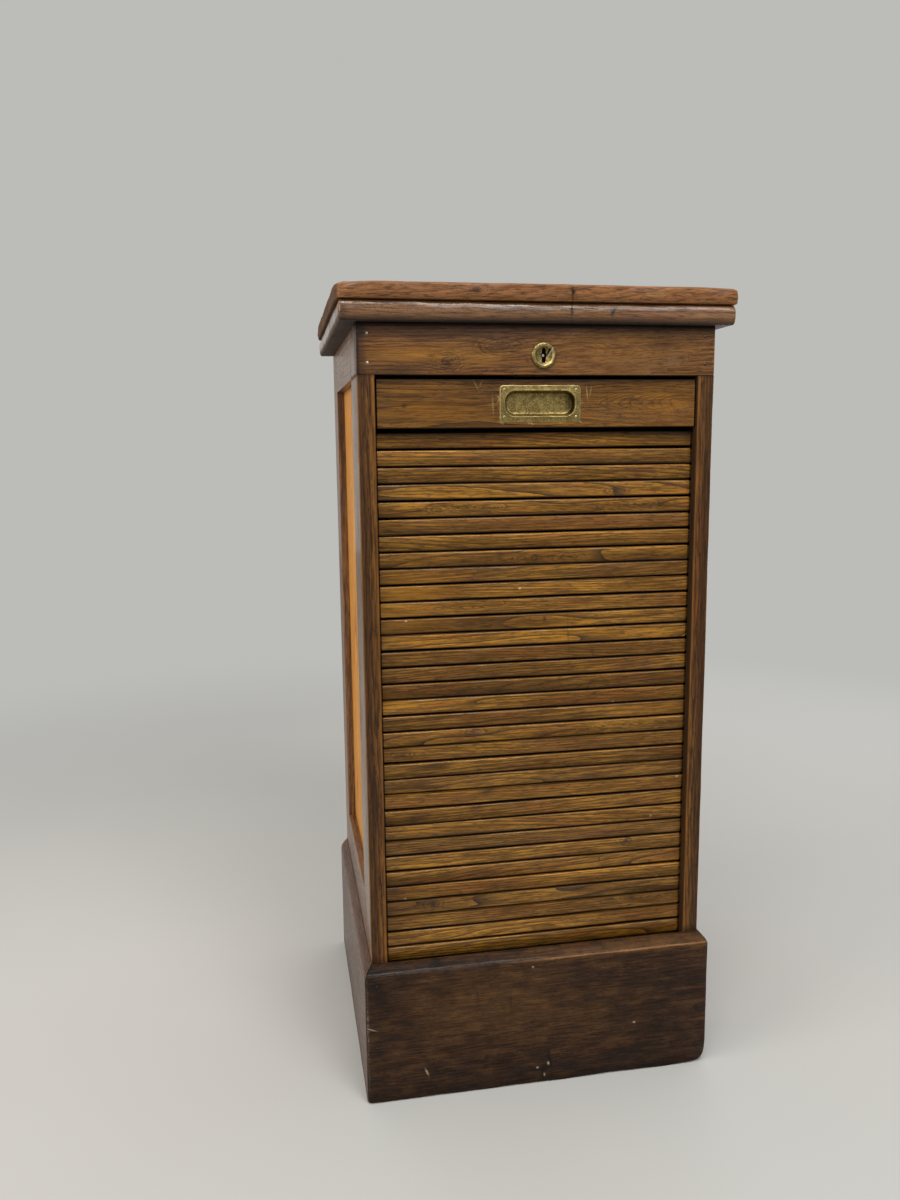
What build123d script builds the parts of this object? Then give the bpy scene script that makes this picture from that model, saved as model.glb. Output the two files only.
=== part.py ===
"""Roll-front filing cabinet: a panelled wooden carcass on a plinth, closed by a tambour shutter.

Millimetres, +Z up. The front faces -Y and +X is to the right of someone who stands before it.
The origin is on the floor, under the middle of the cabinet. The shutter is shown shut: its slats hang
in a groove that runs down both sides, turns under the floor board and climbs behind the inner back.
"""

import os
from math import asin, degrees, floor, sqrt

from build123d import *

# Carcass
carcass_width = 400.0
carcass_depth = 370.0
overall_height = 925.0
plinth_height = 168.0

# Top, made of two boards
top_board_thick = 18.0
top_side_overhang = 21.0
top_end_overhang = 15.0
top_corner_radius = 6.0
top_edge_radius = 4.0
moulding_thick = 21.0
moulding_side_overhang = 18.5
moulding_end_overhang = 12.5
moulding_corner_radius = 6.5
moulding_upper_radius = 5.0
moulding_lower_radius = 6.0

# Side frames: stiles, rails and a loose panel
frame_thick = 19.0
front_stile_width = 72.0
back_stile_width = 58.0
side_top_rail_height = 54.0
bottom_rail_show = 60.0
stile_edge_radius = 1.5
panel_thick = 5.0
panel_recess = 9.5
panel_lap = 7.0
tenon_length = 25.0
tenon_thick = 6.0
tenon_shoulder = 6.0
joinery_clearance = 0.2

# Lock rail above the shutter
lock_rail_height = 54.0
lock_rail_thick = 22.0
lock_rail_edge_radius = 1.2

# Plinth boards planted round the foot of the carcass
plinth_front_thick = 14.0
plinth_side_thick = 9.5
plinth_bevel_drop = 9.0
plinth_bevel_reach = 13.0
plinth_corner_radius = 3.0

# Back
back_panel_thick = 5.0
back_panel_lap = 9.0
back_panel_floor_gap = 20.0
back_rail_thick = 13.0
back_top_rail_height = 54.0

# Shutter track, along its centre line
track_setback = 15.5
track_back_setback = 28.0
track_floor_gap = 15.0
track_radius = 34.0
groove_width = 6.4
groove_depth = 8.0

# Shutter curtain
lead_rail_height = 52.0
lead_rail_recess = 3.5
lead_rail_edge_radius = 1.5
lead_top_gap = 4.0
lead_slat_gap = 4.4
slat_face_height = 16.75
slat_gap = 1.75
slat_thick = 9.0
slat_edge_radius = 2.0
slat_end_gap = 2.2
tongue_thick = 5.0
tongue_end_gap = 0.8
tongue_shoulder = 1.4
curtain_tuck = 5.0
canvas_thick = 0.8
canvas_margin = 14.0
canvas_lap = 30.0

# Inside
running_gap = 5.0
floor_thick = 18.0
inner_back_thick = 6.0
shelf_thick = 12.0
shelf_spacing = 146.0
batten_height = 15.0
batten_thick = 12.0

# Flush pull on the lead rail
pull_width = 91.0
pull_height = 39.0
pull_plate_thick = 1.6
pull_plate_proud = 0.8
pull_corner_radius = 3.8
pull_rim = 5.5
pull_cup_height = 28.0
pull_cup_depth = 8.0
pull_cup_taper = 22.0
pull_cup_round_share = 0.75
pull_cup_wall = 1.0
pull_screw_inset = 5.0
pull_seat_clearance = 0.3

# Lock and its escutcheon
key_offset = 2.6
key_height_on_rail = 21.0
key_pin_radius = 1.4
key_pin_setback = 3.0
key_bore_radius = 5.2
escutcheon_radius = 14.0
escutcheon_rim = 2.6
escutcheon_dish = 1.3
escutcheon_ring_width = 5.0
escutcheon_bevel = 0.8
keyhole_radius = 2.5
keyhole_slot_width = 3.2
keyhole_slot_length = 15.8
lock_case_height = 36.0
lock_case_front = 8.0
lock_case_wall = 1.5
lock_case_side_room = 10.0
lock_cap_thick = 1.5
lock_cap_ear = 11.0
lock_cap_corner_radius = 2.75
lock_seat_clearance = 0.3

# Hook bolt that swings down into the lead rail
hook_pivot_lift = 6.0
hook_pin_radius = 2.0
hook_pin_clearance = 0.06
hook_hub_radius = 5.0
hook_bar = 4.0
hook_thick = 4.0
hook_setback = 2.5
hook_clearance = 1.0
hook_to_key = 24.0
hook_tip_angle = -2.0
hook_root_angle = 62.0
strike_thick = 2.0
strike_width = 9.0
strike_end = 13.0
strike_screw_inset = 5.0

# Screws and nails
screw_head_radius = 2.3
screw_shank_radius = 1.2
screw_head_height = 1.3
screw_length = 11.0
screw_clearance = 0.3
nail_head_radius = 1.8
nail_head_thick = 0.8
nail_shank_radius = 1.1
nail_length = 36.0
nail_clearance = 0.3
rail_nail_inset = 11.5
rail_nail_margin = 12.0
plinth_nail_inset = 4.5
plinth_nail_margin = 20.0
plinth_nail_spacing = 71.0

# One overrun serves every cut that leaves a face
overrun = 1.0

# Planes that several pieces share
half_width = carcass_width / 2
inner_half = half_width - frame_thick
front = -carcass_depth / 2
back = carcass_depth / 2
carcass_top = overall_height - top_board_thick - moulding_thick
lock_rail_bottom = carcass_top - lock_rail_height
lock_rail_back = front + lock_rail_thick
panel_top = carcass_top - side_top_rail_height
panel_bottom = plinth_height + bottom_rail_show

# Places along the shutter track
track_front = front + track_setback
track_back = back - track_back_setback
track_bend_top = track_floor_gap + track_radius
slat_front = track_front - slat_thick / 2
slat_back = track_front + slat_thick / 2
slat_half = inner_half - slat_end_gap
tongue_half = inner_half + groove_depth - tongue_end_gap

# Heights of the shut curtain
lead_top = lock_rail_bottom - lead_top_gap
lead_bottom = lead_top - lead_rail_height
lead_front = front + lead_rail_recess
curtain_top = lead_bottom - lead_slat_gap
curtain_bottom = plinth_height - curtain_tuck
slat_count = round((curtain_top - curtain_bottom + slat_gap) / (slat_face_height + slat_gap))
slat_pitch = (curtain_top - curtain_bottom + slat_gap) / slat_count
slat_height = slat_pitch - slat_gap

# Slats that stay in the straight part of the track when the shutter is right down
straight_slat_count = floor((curtain_bottom - track_bend_top) / slat_pitch)

# The room behind the curtain
inside_front = slat_back + canvas_thick + running_gap
inside_back = track_back - slat_thick / 2 - canvas_thick - running_gap - inner_back_thick
shelf_count = round((carcass_top - plinth_height) / shelf_spacing) - 1
shelf_pitch = (carcass_top - plinth_height) / (shelf_count + 1)

# Places in the lock
key_height = lock_rail_bottom + key_height_on_rail
pivot_x = key_offset - hook_to_key
pivot_z = lock_rail_bottom + hook_pivot_lift
pivot_drop = hook_pivot_lift + lead_top_gap
hook_inner = pivot_drop + strike_thick + hook_clearance
hook_outer = hook_inner + hook_bar
hook_middle = (hook_inner + hook_outer) / 2
hook_front = front + lock_case_front + lock_case_wall + hook_setback
hook_back = hook_front + hook_thick
strike_slot_near = sqrt(hook_inner**2 - (pivot_drop + strike_thick) ** 2) - hook_clearance
strike_slot_far = sqrt(hook_outer**2 - pivot_drop**2) + hook_clearance
case_low_x = pivot_x - hook_hub_radius - hook_clearance - lock_case_wall
case_high_x = key_offset + lock_case_side_room
case_top = lock_rail_bottom + lock_case_height


def board(x, y, z):
    """A squared board between a low and a high plane on each axis."""
    sizes = [high - low for low, high in (x, y, z)]
    middles = [(high + low) / 2 for low, high in (x, y, z)]
    return Pos(*middles) * Box(*sizes)


def grown(span, amount):
    """A low and high plane moved apart by an amount at each end."""
    low, high = span
    return (low - amount, high + amount)


def rod(x, y, z, radius):
    """A round bar along Y, between a low and a high plane."""
    low, high = y
    return Pos(x, (low + high) / 2, z) * Rot(90, 0, 0) * Cylinder(radius, high - low)


def group(pieces):
    """Separate solids that share one name."""
    return Compound(children=pieces)


def long_edges(piece, axis):
    return piece.edges().filter_by(axis)


def other_hand(piece):
    """The same piece for the left side."""
    return mirror(piece, about=Plane.YZ)


# Nails and screws

def nail_places():
    """Each nail as its x, its height and the face that its head lies on."""
    places = []
    for side in (-1, 1):
        for height in (lock_rail_bottom + rail_nail_margin, carcass_top - rail_nail_margin):
            places.append((side * (half_width - rail_nail_inset), height, front))
        for row in range(2):
            height = plinth_height - plinth_nail_margin - row * plinth_nail_spacing
            places.append((side * (half_width - plinth_nail_inset), height, front - plinth_front_thick))
    return places


def nail(place, grow):
    """A round-headed nail driven in along Y, or with a clearance its hole."""
    x, height, face = place
    head = rod(x, (face - grow, face + nail_head_thick + grow), height, nail_head_radius + grow)
    shank = rod(x, (face, face + nail_length + grow), height, nail_shank_radius + grow)
    return head + shank


def nails():
    return group([nail(place, 0) for place in nail_places()])


def without_nail_holes(piece):
    for place in nail_places():
        piece -= nail(place, nail_clearance)
    return piece


def screw(grow):
    """A countersunk screw on its point, its head's top at the origin, or with a clearance its hole."""
    head_low = screw_shank_radius + grow
    head = Pos(0, 0, -screw_head_height / 2) * Cone(head_low, screw_head_radius + grow, screw_head_height)
    length = screw_length + grow - screw_head_height
    shank = Pos(0, 0, -screw_head_height - length / 2) * Cylinder(screw_shank_radius + grow, length)
    return head + shank


# Top

def top_board():
    half_x = half_width + top_side_overhang
    half_y = back + top_end_overhang
    shape = board((-half_x, half_x), (-half_y, half_y), (overall_height - top_board_thick, overall_height))
    shape = fillet(long_edges(shape, Axis.Z), top_corner_radius)
    rims = shape.faces().sort_by(Axis.Z)
    return fillet(rims[0].edges() + rims[-1].edges(), top_edge_radius)


def moulding_board():
    half_x = half_width + moulding_side_overhang
    half_y = back + moulding_end_overhang
    shape = board((-half_x, half_x), (-half_y, half_y), (carcass_top, carcass_top + moulding_thick))
    shape = fillet(long_edges(shape, Axis.Z), moulding_corner_radius)
    shape = fillet(shape.faces().sort_by(Axis.Z)[-1].edges(), moulding_upper_radius)
    return fillet(shape.faces().sort_by(Axis.Z)[0].edges(), moulding_lower_radius)


# Side frames, modelled for the right side

frame_x = (inner_half, half_width)
front_stile_y = (front, front + front_stile_width)
back_stile_y = (back - back_stile_width, back)
rail_y = (front_stile_y[1], back_stile_y[0])
top_rail_z = (panel_top, carcass_top)
bottom_rail_z = (0, panel_bottom)
top_tenon_z = (panel_top + panel_lap + tenon_shoulder, carcass_top - tenon_shoulder)
bottom_tenon_z = (track_bend_top, panel_bottom - panel_lap - tenon_shoulder)


def tenons(height, grow):
    """The tenons at a rail's ends, in the middle of its thickness, or with a clearance their mortises."""
    middle = half_width - frame_thick / 2
    thickness = grown((middle - tenon_thick / 2, middle + tenon_thick / 2), grow)
    low, high = rail_y
    near = board(thickness, grown((low - tenon_length, low), grow), grown(height, grow))
    far = board(thickness, grown((high, high + tenon_length), grow), grown(height, grow))
    return near + far


def panel_block(grow):
    """The loose panel, or with a clearance the groove that its edges lie in."""
    thickness = (half_width - panel_recess - panel_thick, half_width - panel_recess)
    height = (panel_bottom - panel_lap, panel_top + panel_lap)
    return board(grown(thickness, grow), grown(grown(rail_y, panel_lap), grow), grown(height, grow))


def track_region(offset):
    """The part of the side that lies inside the shutter track's centre line, grown by an offset."""
    low, high = grown((track_front, track_back), offset)
    bottom = track_floor_gap - offset
    middle = Pos((low + high) / 2, (bottom + lock_rail_bottom) / 2)
    outline = middle * Rectangle(high - low, lock_rail_bottom - bottom)
    bends = outline.vertices().sort_by(Axis.Y)[:2]
    return Plane.YZ * fillet(bends, track_radius + offset)


def track_groove():
    """The U-shaped groove that guides the slats' tongues, routed into a side's inner face."""
    channel = track_region(groove_width / 2) - track_region(-groove_width / 2)
    return Pos(inner_half - overrun, 0, 0) * extrude(channel, groove_depth + overrun, dir=(1, 0, 0))


def joinery():
    """Everything that is cut out of the stiles to take the rails, the panel and the shutter."""
    mortises = tenons(top_tenon_z, joinery_clearance) + tenons(bottom_tenon_z, joinery_clearance)
    return mortises + panel_block(joinery_clearance) + track_groove()


def front_stile():
    shape = board(frame_x, front_stile_y, (0, carcass_top))
    shape = fillet(long_edges(shape, Axis.Z).sort_by(Axis.Y)[:2], stile_edge_radius)
    seat = (lock_rail_bottom, carcass_top + overrun)
    shape -= board(grown(frame_x, overrun), (front - overrun, lock_rail_back), seat)
    return without_nail_holes(shape - joinery())


def back_stile():
    shape = board(frame_x, back_stile_y, (0, carcass_top)) - joinery()
    rebate_x = (inner_half - overrun, inner_half + back_panel_lap + joinery_clearance)
    rebate_y = (back - back_panel_thick, back + overrun)
    return shape - board(rebate_x, rebate_y, grown((0, carcass_top), overrun))


def side_top_rail():
    return board(frame_x, rail_y, top_rail_z) + tenons(top_tenon_z, 0) - panel_block(joinery_clearance)


def side_bottom_rail():
    shape = board(frame_x, rail_y, bottom_rail_z) + tenons(bottom_tenon_z, 0)
    return shape - panel_block(joinery_clearance) - track_groove()


# Lock rail

def lock_pocket():
    """The mortise in the back of the lock rail, open below for the hook."""
    x = grown((case_low_x, case_high_x), lock_seat_clearance)
    y = (front + lock_case_front - lock_seat_clearance, lock_rail_back + overrun)
    return board(x, y, (lock_rail_bottom - overrun, case_top + lock_seat_clearance))


def lock_rail():
    shape = board((-half_width, half_width), (front, lock_rail_back), (lock_rail_bottom, carcass_top))
    front_edges = long_edges(shape, Axis.X).sort_by(Axis.Y)[:2]
    shape = fillet(front_edges, lock_rail_edge_radius)
    shape -= lock_pocket()
    shape -= rod(key_offset, (front - overrun, front + lock_case_front), key_height, key_bore_radius)
    for x, height in cap_screw_places():
        shape -= cap_screw(x, height, screw_clearance)
    return without_nail_holes(shape)


# Plinth

def bevelled_section(reach_share):
    """The plinth board's section, its outer top edge bevelled, as offsets from the carcass and heights."""
    thick = plinth_front_thick * reach_share
    bevel = plinth_bevel_reach * reach_share
    shoulder = plinth_height - plinth_bevel_drop
    return [(0, 0), (thick, 0), (thick, shoulder), (thick - bevel, plinth_height), (0, plinth_height)]


def plinth_plan():
    """The plinth's outline on the floor, with rounded front corners."""
    half_x = half_width + plinth_side_thick
    plan = Pos(0, -plinth_front_thick / 2) * Rectangle(2 * half_x, carcass_depth + plinth_front_thick)
    plan = fillet(plan.vertices().sort_by(Axis.Y)[:2], plinth_corner_radius)
    return extrude(plan, plinth_height)


def plinth_front():
    points = [(front - out, height) for out, height in bevelled_section(1)]
    reach = half_width + plinth_side_thick
    section = Plane.YZ * make_face(Polyline(points, close=True))
    bar = Pos(-reach, 0, 0) * extrude(section, 2 * reach, dir=(1, 0, 0))
    tips = [(-reach, front - plinth_front_thick), (reach, front - plinth_front_thick)]
    mitres = make_face(Polyline(tips + [(half_width, front), (-half_width, front)], close=True))
    return without_nail_holes(bar & extrude(mitres, plinth_height) & plinth_plan())


def plinth_side():
    """The right-hand board, mitred to the front one."""
    share = plinth_side_thick / plinth_front_thick
    points = [(half_width + out, height) for out, height in bevelled_section(share)]
    start = front - plinth_front_thick
    face = Plane.XZ * make_face(Polyline(points, close=True))
    bar = Pos(0, start, 0) * extrude(face, back - start, dir=(0, 1, 0))
    outer = half_width + plinth_side_thick
    corners = [(outer, start), (outer, back), (half_width, back), (half_width, front)]
    mitre = make_face(Polyline(corners, close=True))
    return bar & extrude(mitre, plinth_height) & plinth_plan()


# Back and inside

def back_panel():
    half_x = inner_half + back_panel_lap
    return board((-half_x, half_x), (back - back_panel_thick, back), (back_panel_floor_gap, carcass_top))


def back_rail(height):
    rail_back = back - back_panel_thick
    return board((-inner_half, inner_half), (rail_back - back_rail_thick, rail_back), height)


def inner_back():
    height = (plinth_height - floor_thick, carcass_top)
    return board((-inner_half, inner_half), (inside_back, inside_back + inner_back_thick), height)


def inside_board(height):
    """A board that fills the room between the sides, from the curtain to the inner back."""
    return board((-inner_half, inner_half), (inside_front, inside_back), height)


def shelf(number):
    top = plinth_height + number * shelf_pitch + shelf_thick / 2
    return inside_board((top - shelf_thick, top))


def batten_pair(height):
    """Two strips on the sides' inner faces whose top edge is at a height."""
    strips = []
    for side in (-1, 1):
        x = sorted((side * inner_half, side * (inner_half - batten_thick)))
        strips.append(board(x, (inside_front, inside_back), (height - batten_height, height)))
    return strips


def shelf_battens():
    strips = []
    for number in range(1, shelf_count + 1):
        strips += batten_pair(plinth_height + number * shelf_pitch - shelf_thick / 2)
    return group(strips)


def floor_cleats():
    return group(batten_pair(plinth_height - floor_thick))


def top_cleats():
    return group(batten_pair(carcass_top))


# Lock

def lock_case():
    """A sheet-metal box let into the rail, open behind for its cap and below for the hook."""
    x = (case_low_x, case_high_x)
    y = (front + lock_case_front, lock_rail_back)
    shell = board(x, y, (lock_rail_bottom, case_top))
    room_y = (front + lock_case_front + lock_case_wall, lock_rail_back + overrun)
    room_z = (lock_rail_bottom - overrun, case_top - lock_case_wall)
    shell -= board(grown(x, -lock_case_wall), room_y, room_z)
    return shell - rod(key_offset, grown(y, overrun), key_height, key_bore_radius)


def cap_screw_places():
    """The cap's four screws, in its ears to the left and right of the case."""
    places = []
    for x in (case_low_x - lock_cap_ear / 2, case_high_x + lock_cap_ear / 2):
        for height in (lock_rail_bottom + lock_cap_ear / 2, case_top - lock_cap_ear / 2):
            places.append((x, height))
    return places


def cap_screw(x, height, grow):
    return Pos(x, lock_rail_back + lock_cap_thick, height) * Rot(-90, 0, 0) * screw(grow)


def lock_cap():
    x = grown((case_low_x, case_high_x), lock_cap_ear)
    shape = board(x, (lock_rail_back, lock_rail_back + lock_cap_thick), (lock_rail_bottom, case_top))
    shape = fillet(long_edges(shape, Axis.Y), lock_cap_corner_radius)
    for place_x, height in cap_screw_places():
        shape -= cap_screw(place_x, height, screw_clearance)
    return shape


def lock_screws():
    return group([cap_screw(x, height, 0) for x, height in cap_screw_places()])


def key_pin():
    """The post that a hollow key fits over, standing forward from the cap."""
    return rod(key_offset, (front + key_pin_setback, lock_rail_back), key_height, key_pin_radius)


def hook_pin():
    y = (front + lock_case_front + lock_case_wall, lock_rail_back)
    return rod(pivot_x, y, pivot_z, hook_pin_radius)


def lock_hook():
    """A sickle on a hub: an arc about its pivot, so that it swings through a slot of its own width."""
    end_angle = degrees(asin(hook_bar / 2 / hook_middle))
    start = hook_tip_angle
    arc = CenterArc((0, 0), hook_middle, start, hook_root_angle - start)
    sickle = SlotArc(arc, hook_bar)
    spoke_angle = hook_root_angle - end_angle / 2
    spoke = Rot(0, 0, spoke_angle) * Pos(hook_middle / 2, 0) * Rectangle(hook_middle, hook_bar)
    outline = sickle + spoke + Circle(hook_hub_radius) - Circle(hook_pin_radius + hook_pin_clearance)
    blank = extrude(Plane.XZ * outline, hook_thick, dir=(0, 1, 0))
    return Pos(pivot_x, hook_front, pivot_z) * blank


def keyhole():
    """A round eye in the middle of an upright slot, cut along Y."""
    slot = Rot(0, 0, 90) * SlotOverall(keyhole_slot_length, keyhole_slot_width)
    outline = Plane.XZ * (Circle(keyhole_radius) + slot)
    reach = escutcheon_rim + overrun
    return Pos(key_offset, front - reach, key_height) * extrude(outline, reach + overrun, dir=(0, 1, 0))


def escutcheon():
    """A turned brass ring with a dished middle, planted on the lock rail over the key bore."""
    inner_ring = escutcheon_radius - escutcheon_ring_width
    profile = Polyline(
        (0, 0),
        (escutcheon_radius, 0),
        (escutcheon_radius, escutcheon_rim - escutcheon_bevel),
        (escutcheon_radius - escutcheon_bevel, escutcheon_rim),
        (inner_ring + escutcheon_bevel, escutcheon_rim),
        (inner_ring, escutcheon_dish),
        (0, escutcheon_dish),
        close=True,
    )
    turned = revolve(Plane.XZ * make_face(profile), Axis.Z)
    return Pos(key_offset, front, key_height) * Rot(90, 0, 0) * turned - keyhole()


# Shutter

def with_tongues(piece, height):
    """Adds the thin tongues at both ends of a slat or rail that run in the sides' grooves."""
    y = grown((track_front, track_front), tongue_thick / 2)
    tongue_z = grown(height, -tongue_shoulder)
    for side in (-1, 1):
        piece += board(sorted((side * slat_half, side * tongue_half)), y, tongue_z)
    return piece


def slat():
    """One slat at height zero: flat face, rounded front arrises, a shouldered tongue at each end."""
    height = (-slat_height / 2, slat_height / 2)
    bar = board((-slat_half, slat_half), (slat_front, slat_back), height)
    bar = fillet(bar.faces().sort_by(Axis.Y)[0].edges(), slat_edge_radius)
    return with_tongues(bar, height)


def slats(numbers):
    """The slats with these numbers, counted down from the lead rail."""
    pattern = slat()
    first = curtain_top - slat_height / 2
    return group([Pos(0, 0, first - number * slat_pitch) * pattern for number in numbers])


def canvas_backing():
    half_x = slat_half - canvas_margin
    height = (curtain_bottom, lead_bottom + canvas_lap)
    return board((-half_x, half_x), (slat_back, slat_back + canvas_thick), height)


pull_middle = (lead_top + lead_bottom) / 2
cup_width = pull_width - 2 * pull_rim


def facing_front(shape):
    """Turns a shape that lies on the XY plane, face up, to face the front at the pull's middle."""
    return Pos(0, lead_front, pull_middle) * Rot(90, 0, 0) * shape


def pull_mouth(wall):
    """The round-cornered outline of the pull's finger recess, grown by a wall."""
    height = pull_cup_height + 2 * wall
    return RectangleRounded(cup_width + 2 * wall, height, height / 2 * pull_cup_round_share)


def pull_cup(wall):
    """The tapered finger recess below the XY plane, grown by a wall."""
    return extrude(pull_mouth(wall), pull_cup_depth + wall, dir=(0, 0, -1), taper=pull_cup_taper)


def pull_screw_places():
    x = pull_width / 2 - pull_screw_inset
    y = pull_height / 2 - pull_screw_inset
    return [Pos(side * x, end * y, pull_plate_proud) for side in (-1, 1) for end in (-1, 1)]


def pull_plate(grow):
    plate = RectangleRounded(pull_width + 2 * grow, pull_height + 2 * grow, pull_corner_radius)
    return Pos(0, 0, pull_plate_proud - pull_plate_thick) * extrude(plate, pull_plate_thick)


def flush_pull():
    shape = pull_plate(0) + pull_cup(pull_cup_wall)
    shape -= pull_cup(0)
    shape -= extrude(pull_mouth(0), pull_plate_proud + overrun)
    for place in pull_screw_places():
        shape -= place * screw(screw_clearance)
    return facing_front(shape)


def pull_screws():
    return group([facing_front(place * screw(0)) for place in pull_screw_places()])


def strike_x():
    return (pivot_x - hook_clearance - strike_end, pivot_x + strike_slot_far + strike_end)


def hook_slot(x, z):
    """The room that the hook needs in the lead rail or its strike, in the hook's own plane."""
    return board(x, grown((hook_front, hook_back), hook_clearance), z)


def strike_screw(x, grow):
    middle = (hook_front + hook_back) / 2
    return Pos(x, middle, lead_top) * screw(grow)


def strike_screw_places():
    low, high = strike_x()
    return (low + strike_screw_inset, high - strike_screw_inset)


def strike_block(grow):
    y = grown(((hook_front + hook_back) / 2,) * 2, strike_width / 2)
    return board(grown(strike_x(), grow), grown(y, grow), (lead_top - strike_thick, lead_top + grow))


def strike_plate():
    slot_x = (pivot_x + strike_slot_near, pivot_x + strike_slot_far)
    slot = hook_slot(slot_x, grown((lead_top - strike_thick, lead_top), overrun))
    shape = strike_block(0) - slot
    for x in strike_screw_places():
        shape -= strike_screw(x, screw_clearance)
    return shape


def strike_screws():
    return group([strike_screw(x, 0) for x in strike_screw_places()])


def lead_rail():
    """The shutter's top rail, cut out for the pull in front and for the strike and hook above."""
    height = (lead_bottom, lead_top)
    bar = board((-slat_half, slat_half), (lead_front, slat_back), height)
    bar = fillet(bar.faces().sort_by(Axis.Y)[0].edges(), lead_rail_edge_radius)
    shape = with_tongues(bar, height)
    seat = pull_plate(pull_seat_clearance) + pull_cup(pull_cup_wall + pull_seat_clearance)
    shape -= facing_front(seat)
    shape -= strike_block(joinery_clearance)
    sweep_left = pivot_x - hook_outer * hook_bar / hook_middle
    sweep_low = pivot_z - hook_outer - hook_clearance
    shape -= hook_slot((sweep_left, pivot_x + strike_slot_far), (sweep_low, lead_top))
    for place in pull_screw_places():
        shape -= facing_front(place * screw(screw_clearance))
    for x in strike_screw_places():
        shape -= strike_screw(x, screw_clearance)
    return shape


pieces = {
    "top_board": top_board(),
    "moulding_board": moulding_board(),
    "lock_rail": lock_rail(),
    "plinth_front": plinth_front(),
    "back_panel": back_panel(),
    "back_top_rail": back_rail((carcass_top - back_top_rail_height, carcass_top)),
    "back_bottom_rail": back_rail((0, plinth_height)),
    "inner_back": inner_back(),
    "floor_board": inside_board((plinth_height - floor_thick, plinth_height)),
    "floor_cleats": floor_cleats(),
    "top_cleats": top_cleats(),
    "shelf_battens": shelf_battens(),
    "nails": nails(),
    "escutcheon": escutcheon(),
    "lock_case": lock_case(),
    "lock_cap": lock_cap(),
    "lock_screws": lock_screws(),
    "key_pin": key_pin(),
    "hook_pin": hook_pin(),
    "lock_hook": lock_hook(),
    "lead_rail": lead_rail(),
    "upper_slats": slats(range(straight_slat_count)),
    "lower_slats": slats(range(straight_slat_count, slat_count)),
    "canvas_backing": canvas_backing(),
    "flush_pull": flush_pull(),
    "pull_screws": pull_screws(),
    "strike_plate": strike_plate(),
    "strike_screws": strike_screws(),
}
for number in range(1, shelf_count + 1):
    pieces[f"shelf_{number}"] = shelf(number)
right_side = {
    "front_stile": front_stile(),
    "back_stile": back_stile(),
    "side_top_rail": side_top_rail(),
    "side_bottom_rail": side_bottom_rail(),
    "side_panel": panel_block(0),
    "plinth_side": plinth_side(),
}
for name, piece in right_side.items():
    pieces[f"right_{name}"] = piece
    pieces[f"left_{name}"] = other_hand(piece)

os.makedirs("parts", exist_ok=True)
for name, piece in pieces.items():
    export_step(piece, f"parts/{name}.step")
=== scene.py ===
"""The looks of a roll-front filing cabinet: worn, waxed boards, a tambour shutter and brass fittings.

Metres, +Z up, the front towards -Y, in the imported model's own frame, which gives every piece its place.
A wooden piece is a block of grid places. Its arrises are rounded and worn, its rebates and grooves are cuts,
and it carries grain coordinates, so that one finish follows the grain of every board.
"""

from math import cos, inf, pi, radians, sin, tau

import bmesh
import bpy
import numpy as np
from mathutils import Matrix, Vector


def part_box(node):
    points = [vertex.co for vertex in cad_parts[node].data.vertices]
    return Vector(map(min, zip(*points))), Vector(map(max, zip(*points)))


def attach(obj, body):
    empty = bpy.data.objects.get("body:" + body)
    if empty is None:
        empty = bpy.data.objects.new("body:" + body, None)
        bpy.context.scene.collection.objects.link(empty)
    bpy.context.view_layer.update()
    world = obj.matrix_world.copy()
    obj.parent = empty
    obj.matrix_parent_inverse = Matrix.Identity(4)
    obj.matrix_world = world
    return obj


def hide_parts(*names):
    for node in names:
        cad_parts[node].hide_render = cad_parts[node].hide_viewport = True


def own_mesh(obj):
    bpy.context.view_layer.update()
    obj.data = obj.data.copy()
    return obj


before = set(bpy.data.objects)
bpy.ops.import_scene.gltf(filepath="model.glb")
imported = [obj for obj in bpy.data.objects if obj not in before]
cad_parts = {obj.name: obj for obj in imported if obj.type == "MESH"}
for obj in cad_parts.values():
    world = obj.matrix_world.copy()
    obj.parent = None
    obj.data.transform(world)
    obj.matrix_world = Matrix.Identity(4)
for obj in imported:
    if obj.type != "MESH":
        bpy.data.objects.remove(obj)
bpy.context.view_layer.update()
mm = 0.001

# Camera, at the photograph's viewpoint
image_height = 1200
focal_pixels = 957
film_height = 36
camera_place = (-288.7 * mm, -1210.8 * mm, 753.6 * mm)
camera_yaw, camera_pitch, camera_roll = 0.1789, -0.156, -0.011

# Grids
grid_step = 7 * mm
slat_step = 10 * mm
hair = 0.02 * mm
weld = 0.004 * mm
arris_fan = 3
sharp_angle = radians(38)
edge_reach = 30 * mm
front_marks = (-100 * mm, -150 * mm)

# Grain: the pith's distance in widths, its lean, and a wide board's shares of its turn, distance and lean
wide_board = 240 * mm
wide_shares = (0.25, 0.15, 3)
pith_away, pith_lean = (0.6, 2.2), 0.02
log_half = 9
grain_sway, ring_stir = 12 * mm, 13 * mm
arch_pitch = 11 * mm

# Finishes
coat_roughness = 0.13
wood_relief, brass_relief, steel_relief, weave_relief = 0.42 * mm, 0.22 * mm, 0.1 * mm, 0.3 * mm

# Carcass
top_arris = np.array([[3, 3, 0.8], [3, 3, 2.8]]) * mm
moulding_arris = np.array([[3, 5, 9], [3, 5, 8]]) * mm
stile_arris = 1.5 * mm
rail_arris = 1.2 * mm
frame_arris = 0.7 * mm
inner_arris = 0.8 * mm
panel_arris = 0.6 * mm
joint_room = 0.2 * mm
stile_tone = -0.7
split_place, split_width, split_depth = 30 * mm, 0.8 * mm, 1.8 * mm
worn_corner_reach = 24 * mm
worn_left, worn_right = np.array([11, 11, 3]) * mm, np.array([4, 4, 3]) * mm
face_wave, face_wave_length = 0.12 * mm, 150 * mm
arris_wave, arris_ripple = 70 * mm, 26 * mm

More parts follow.
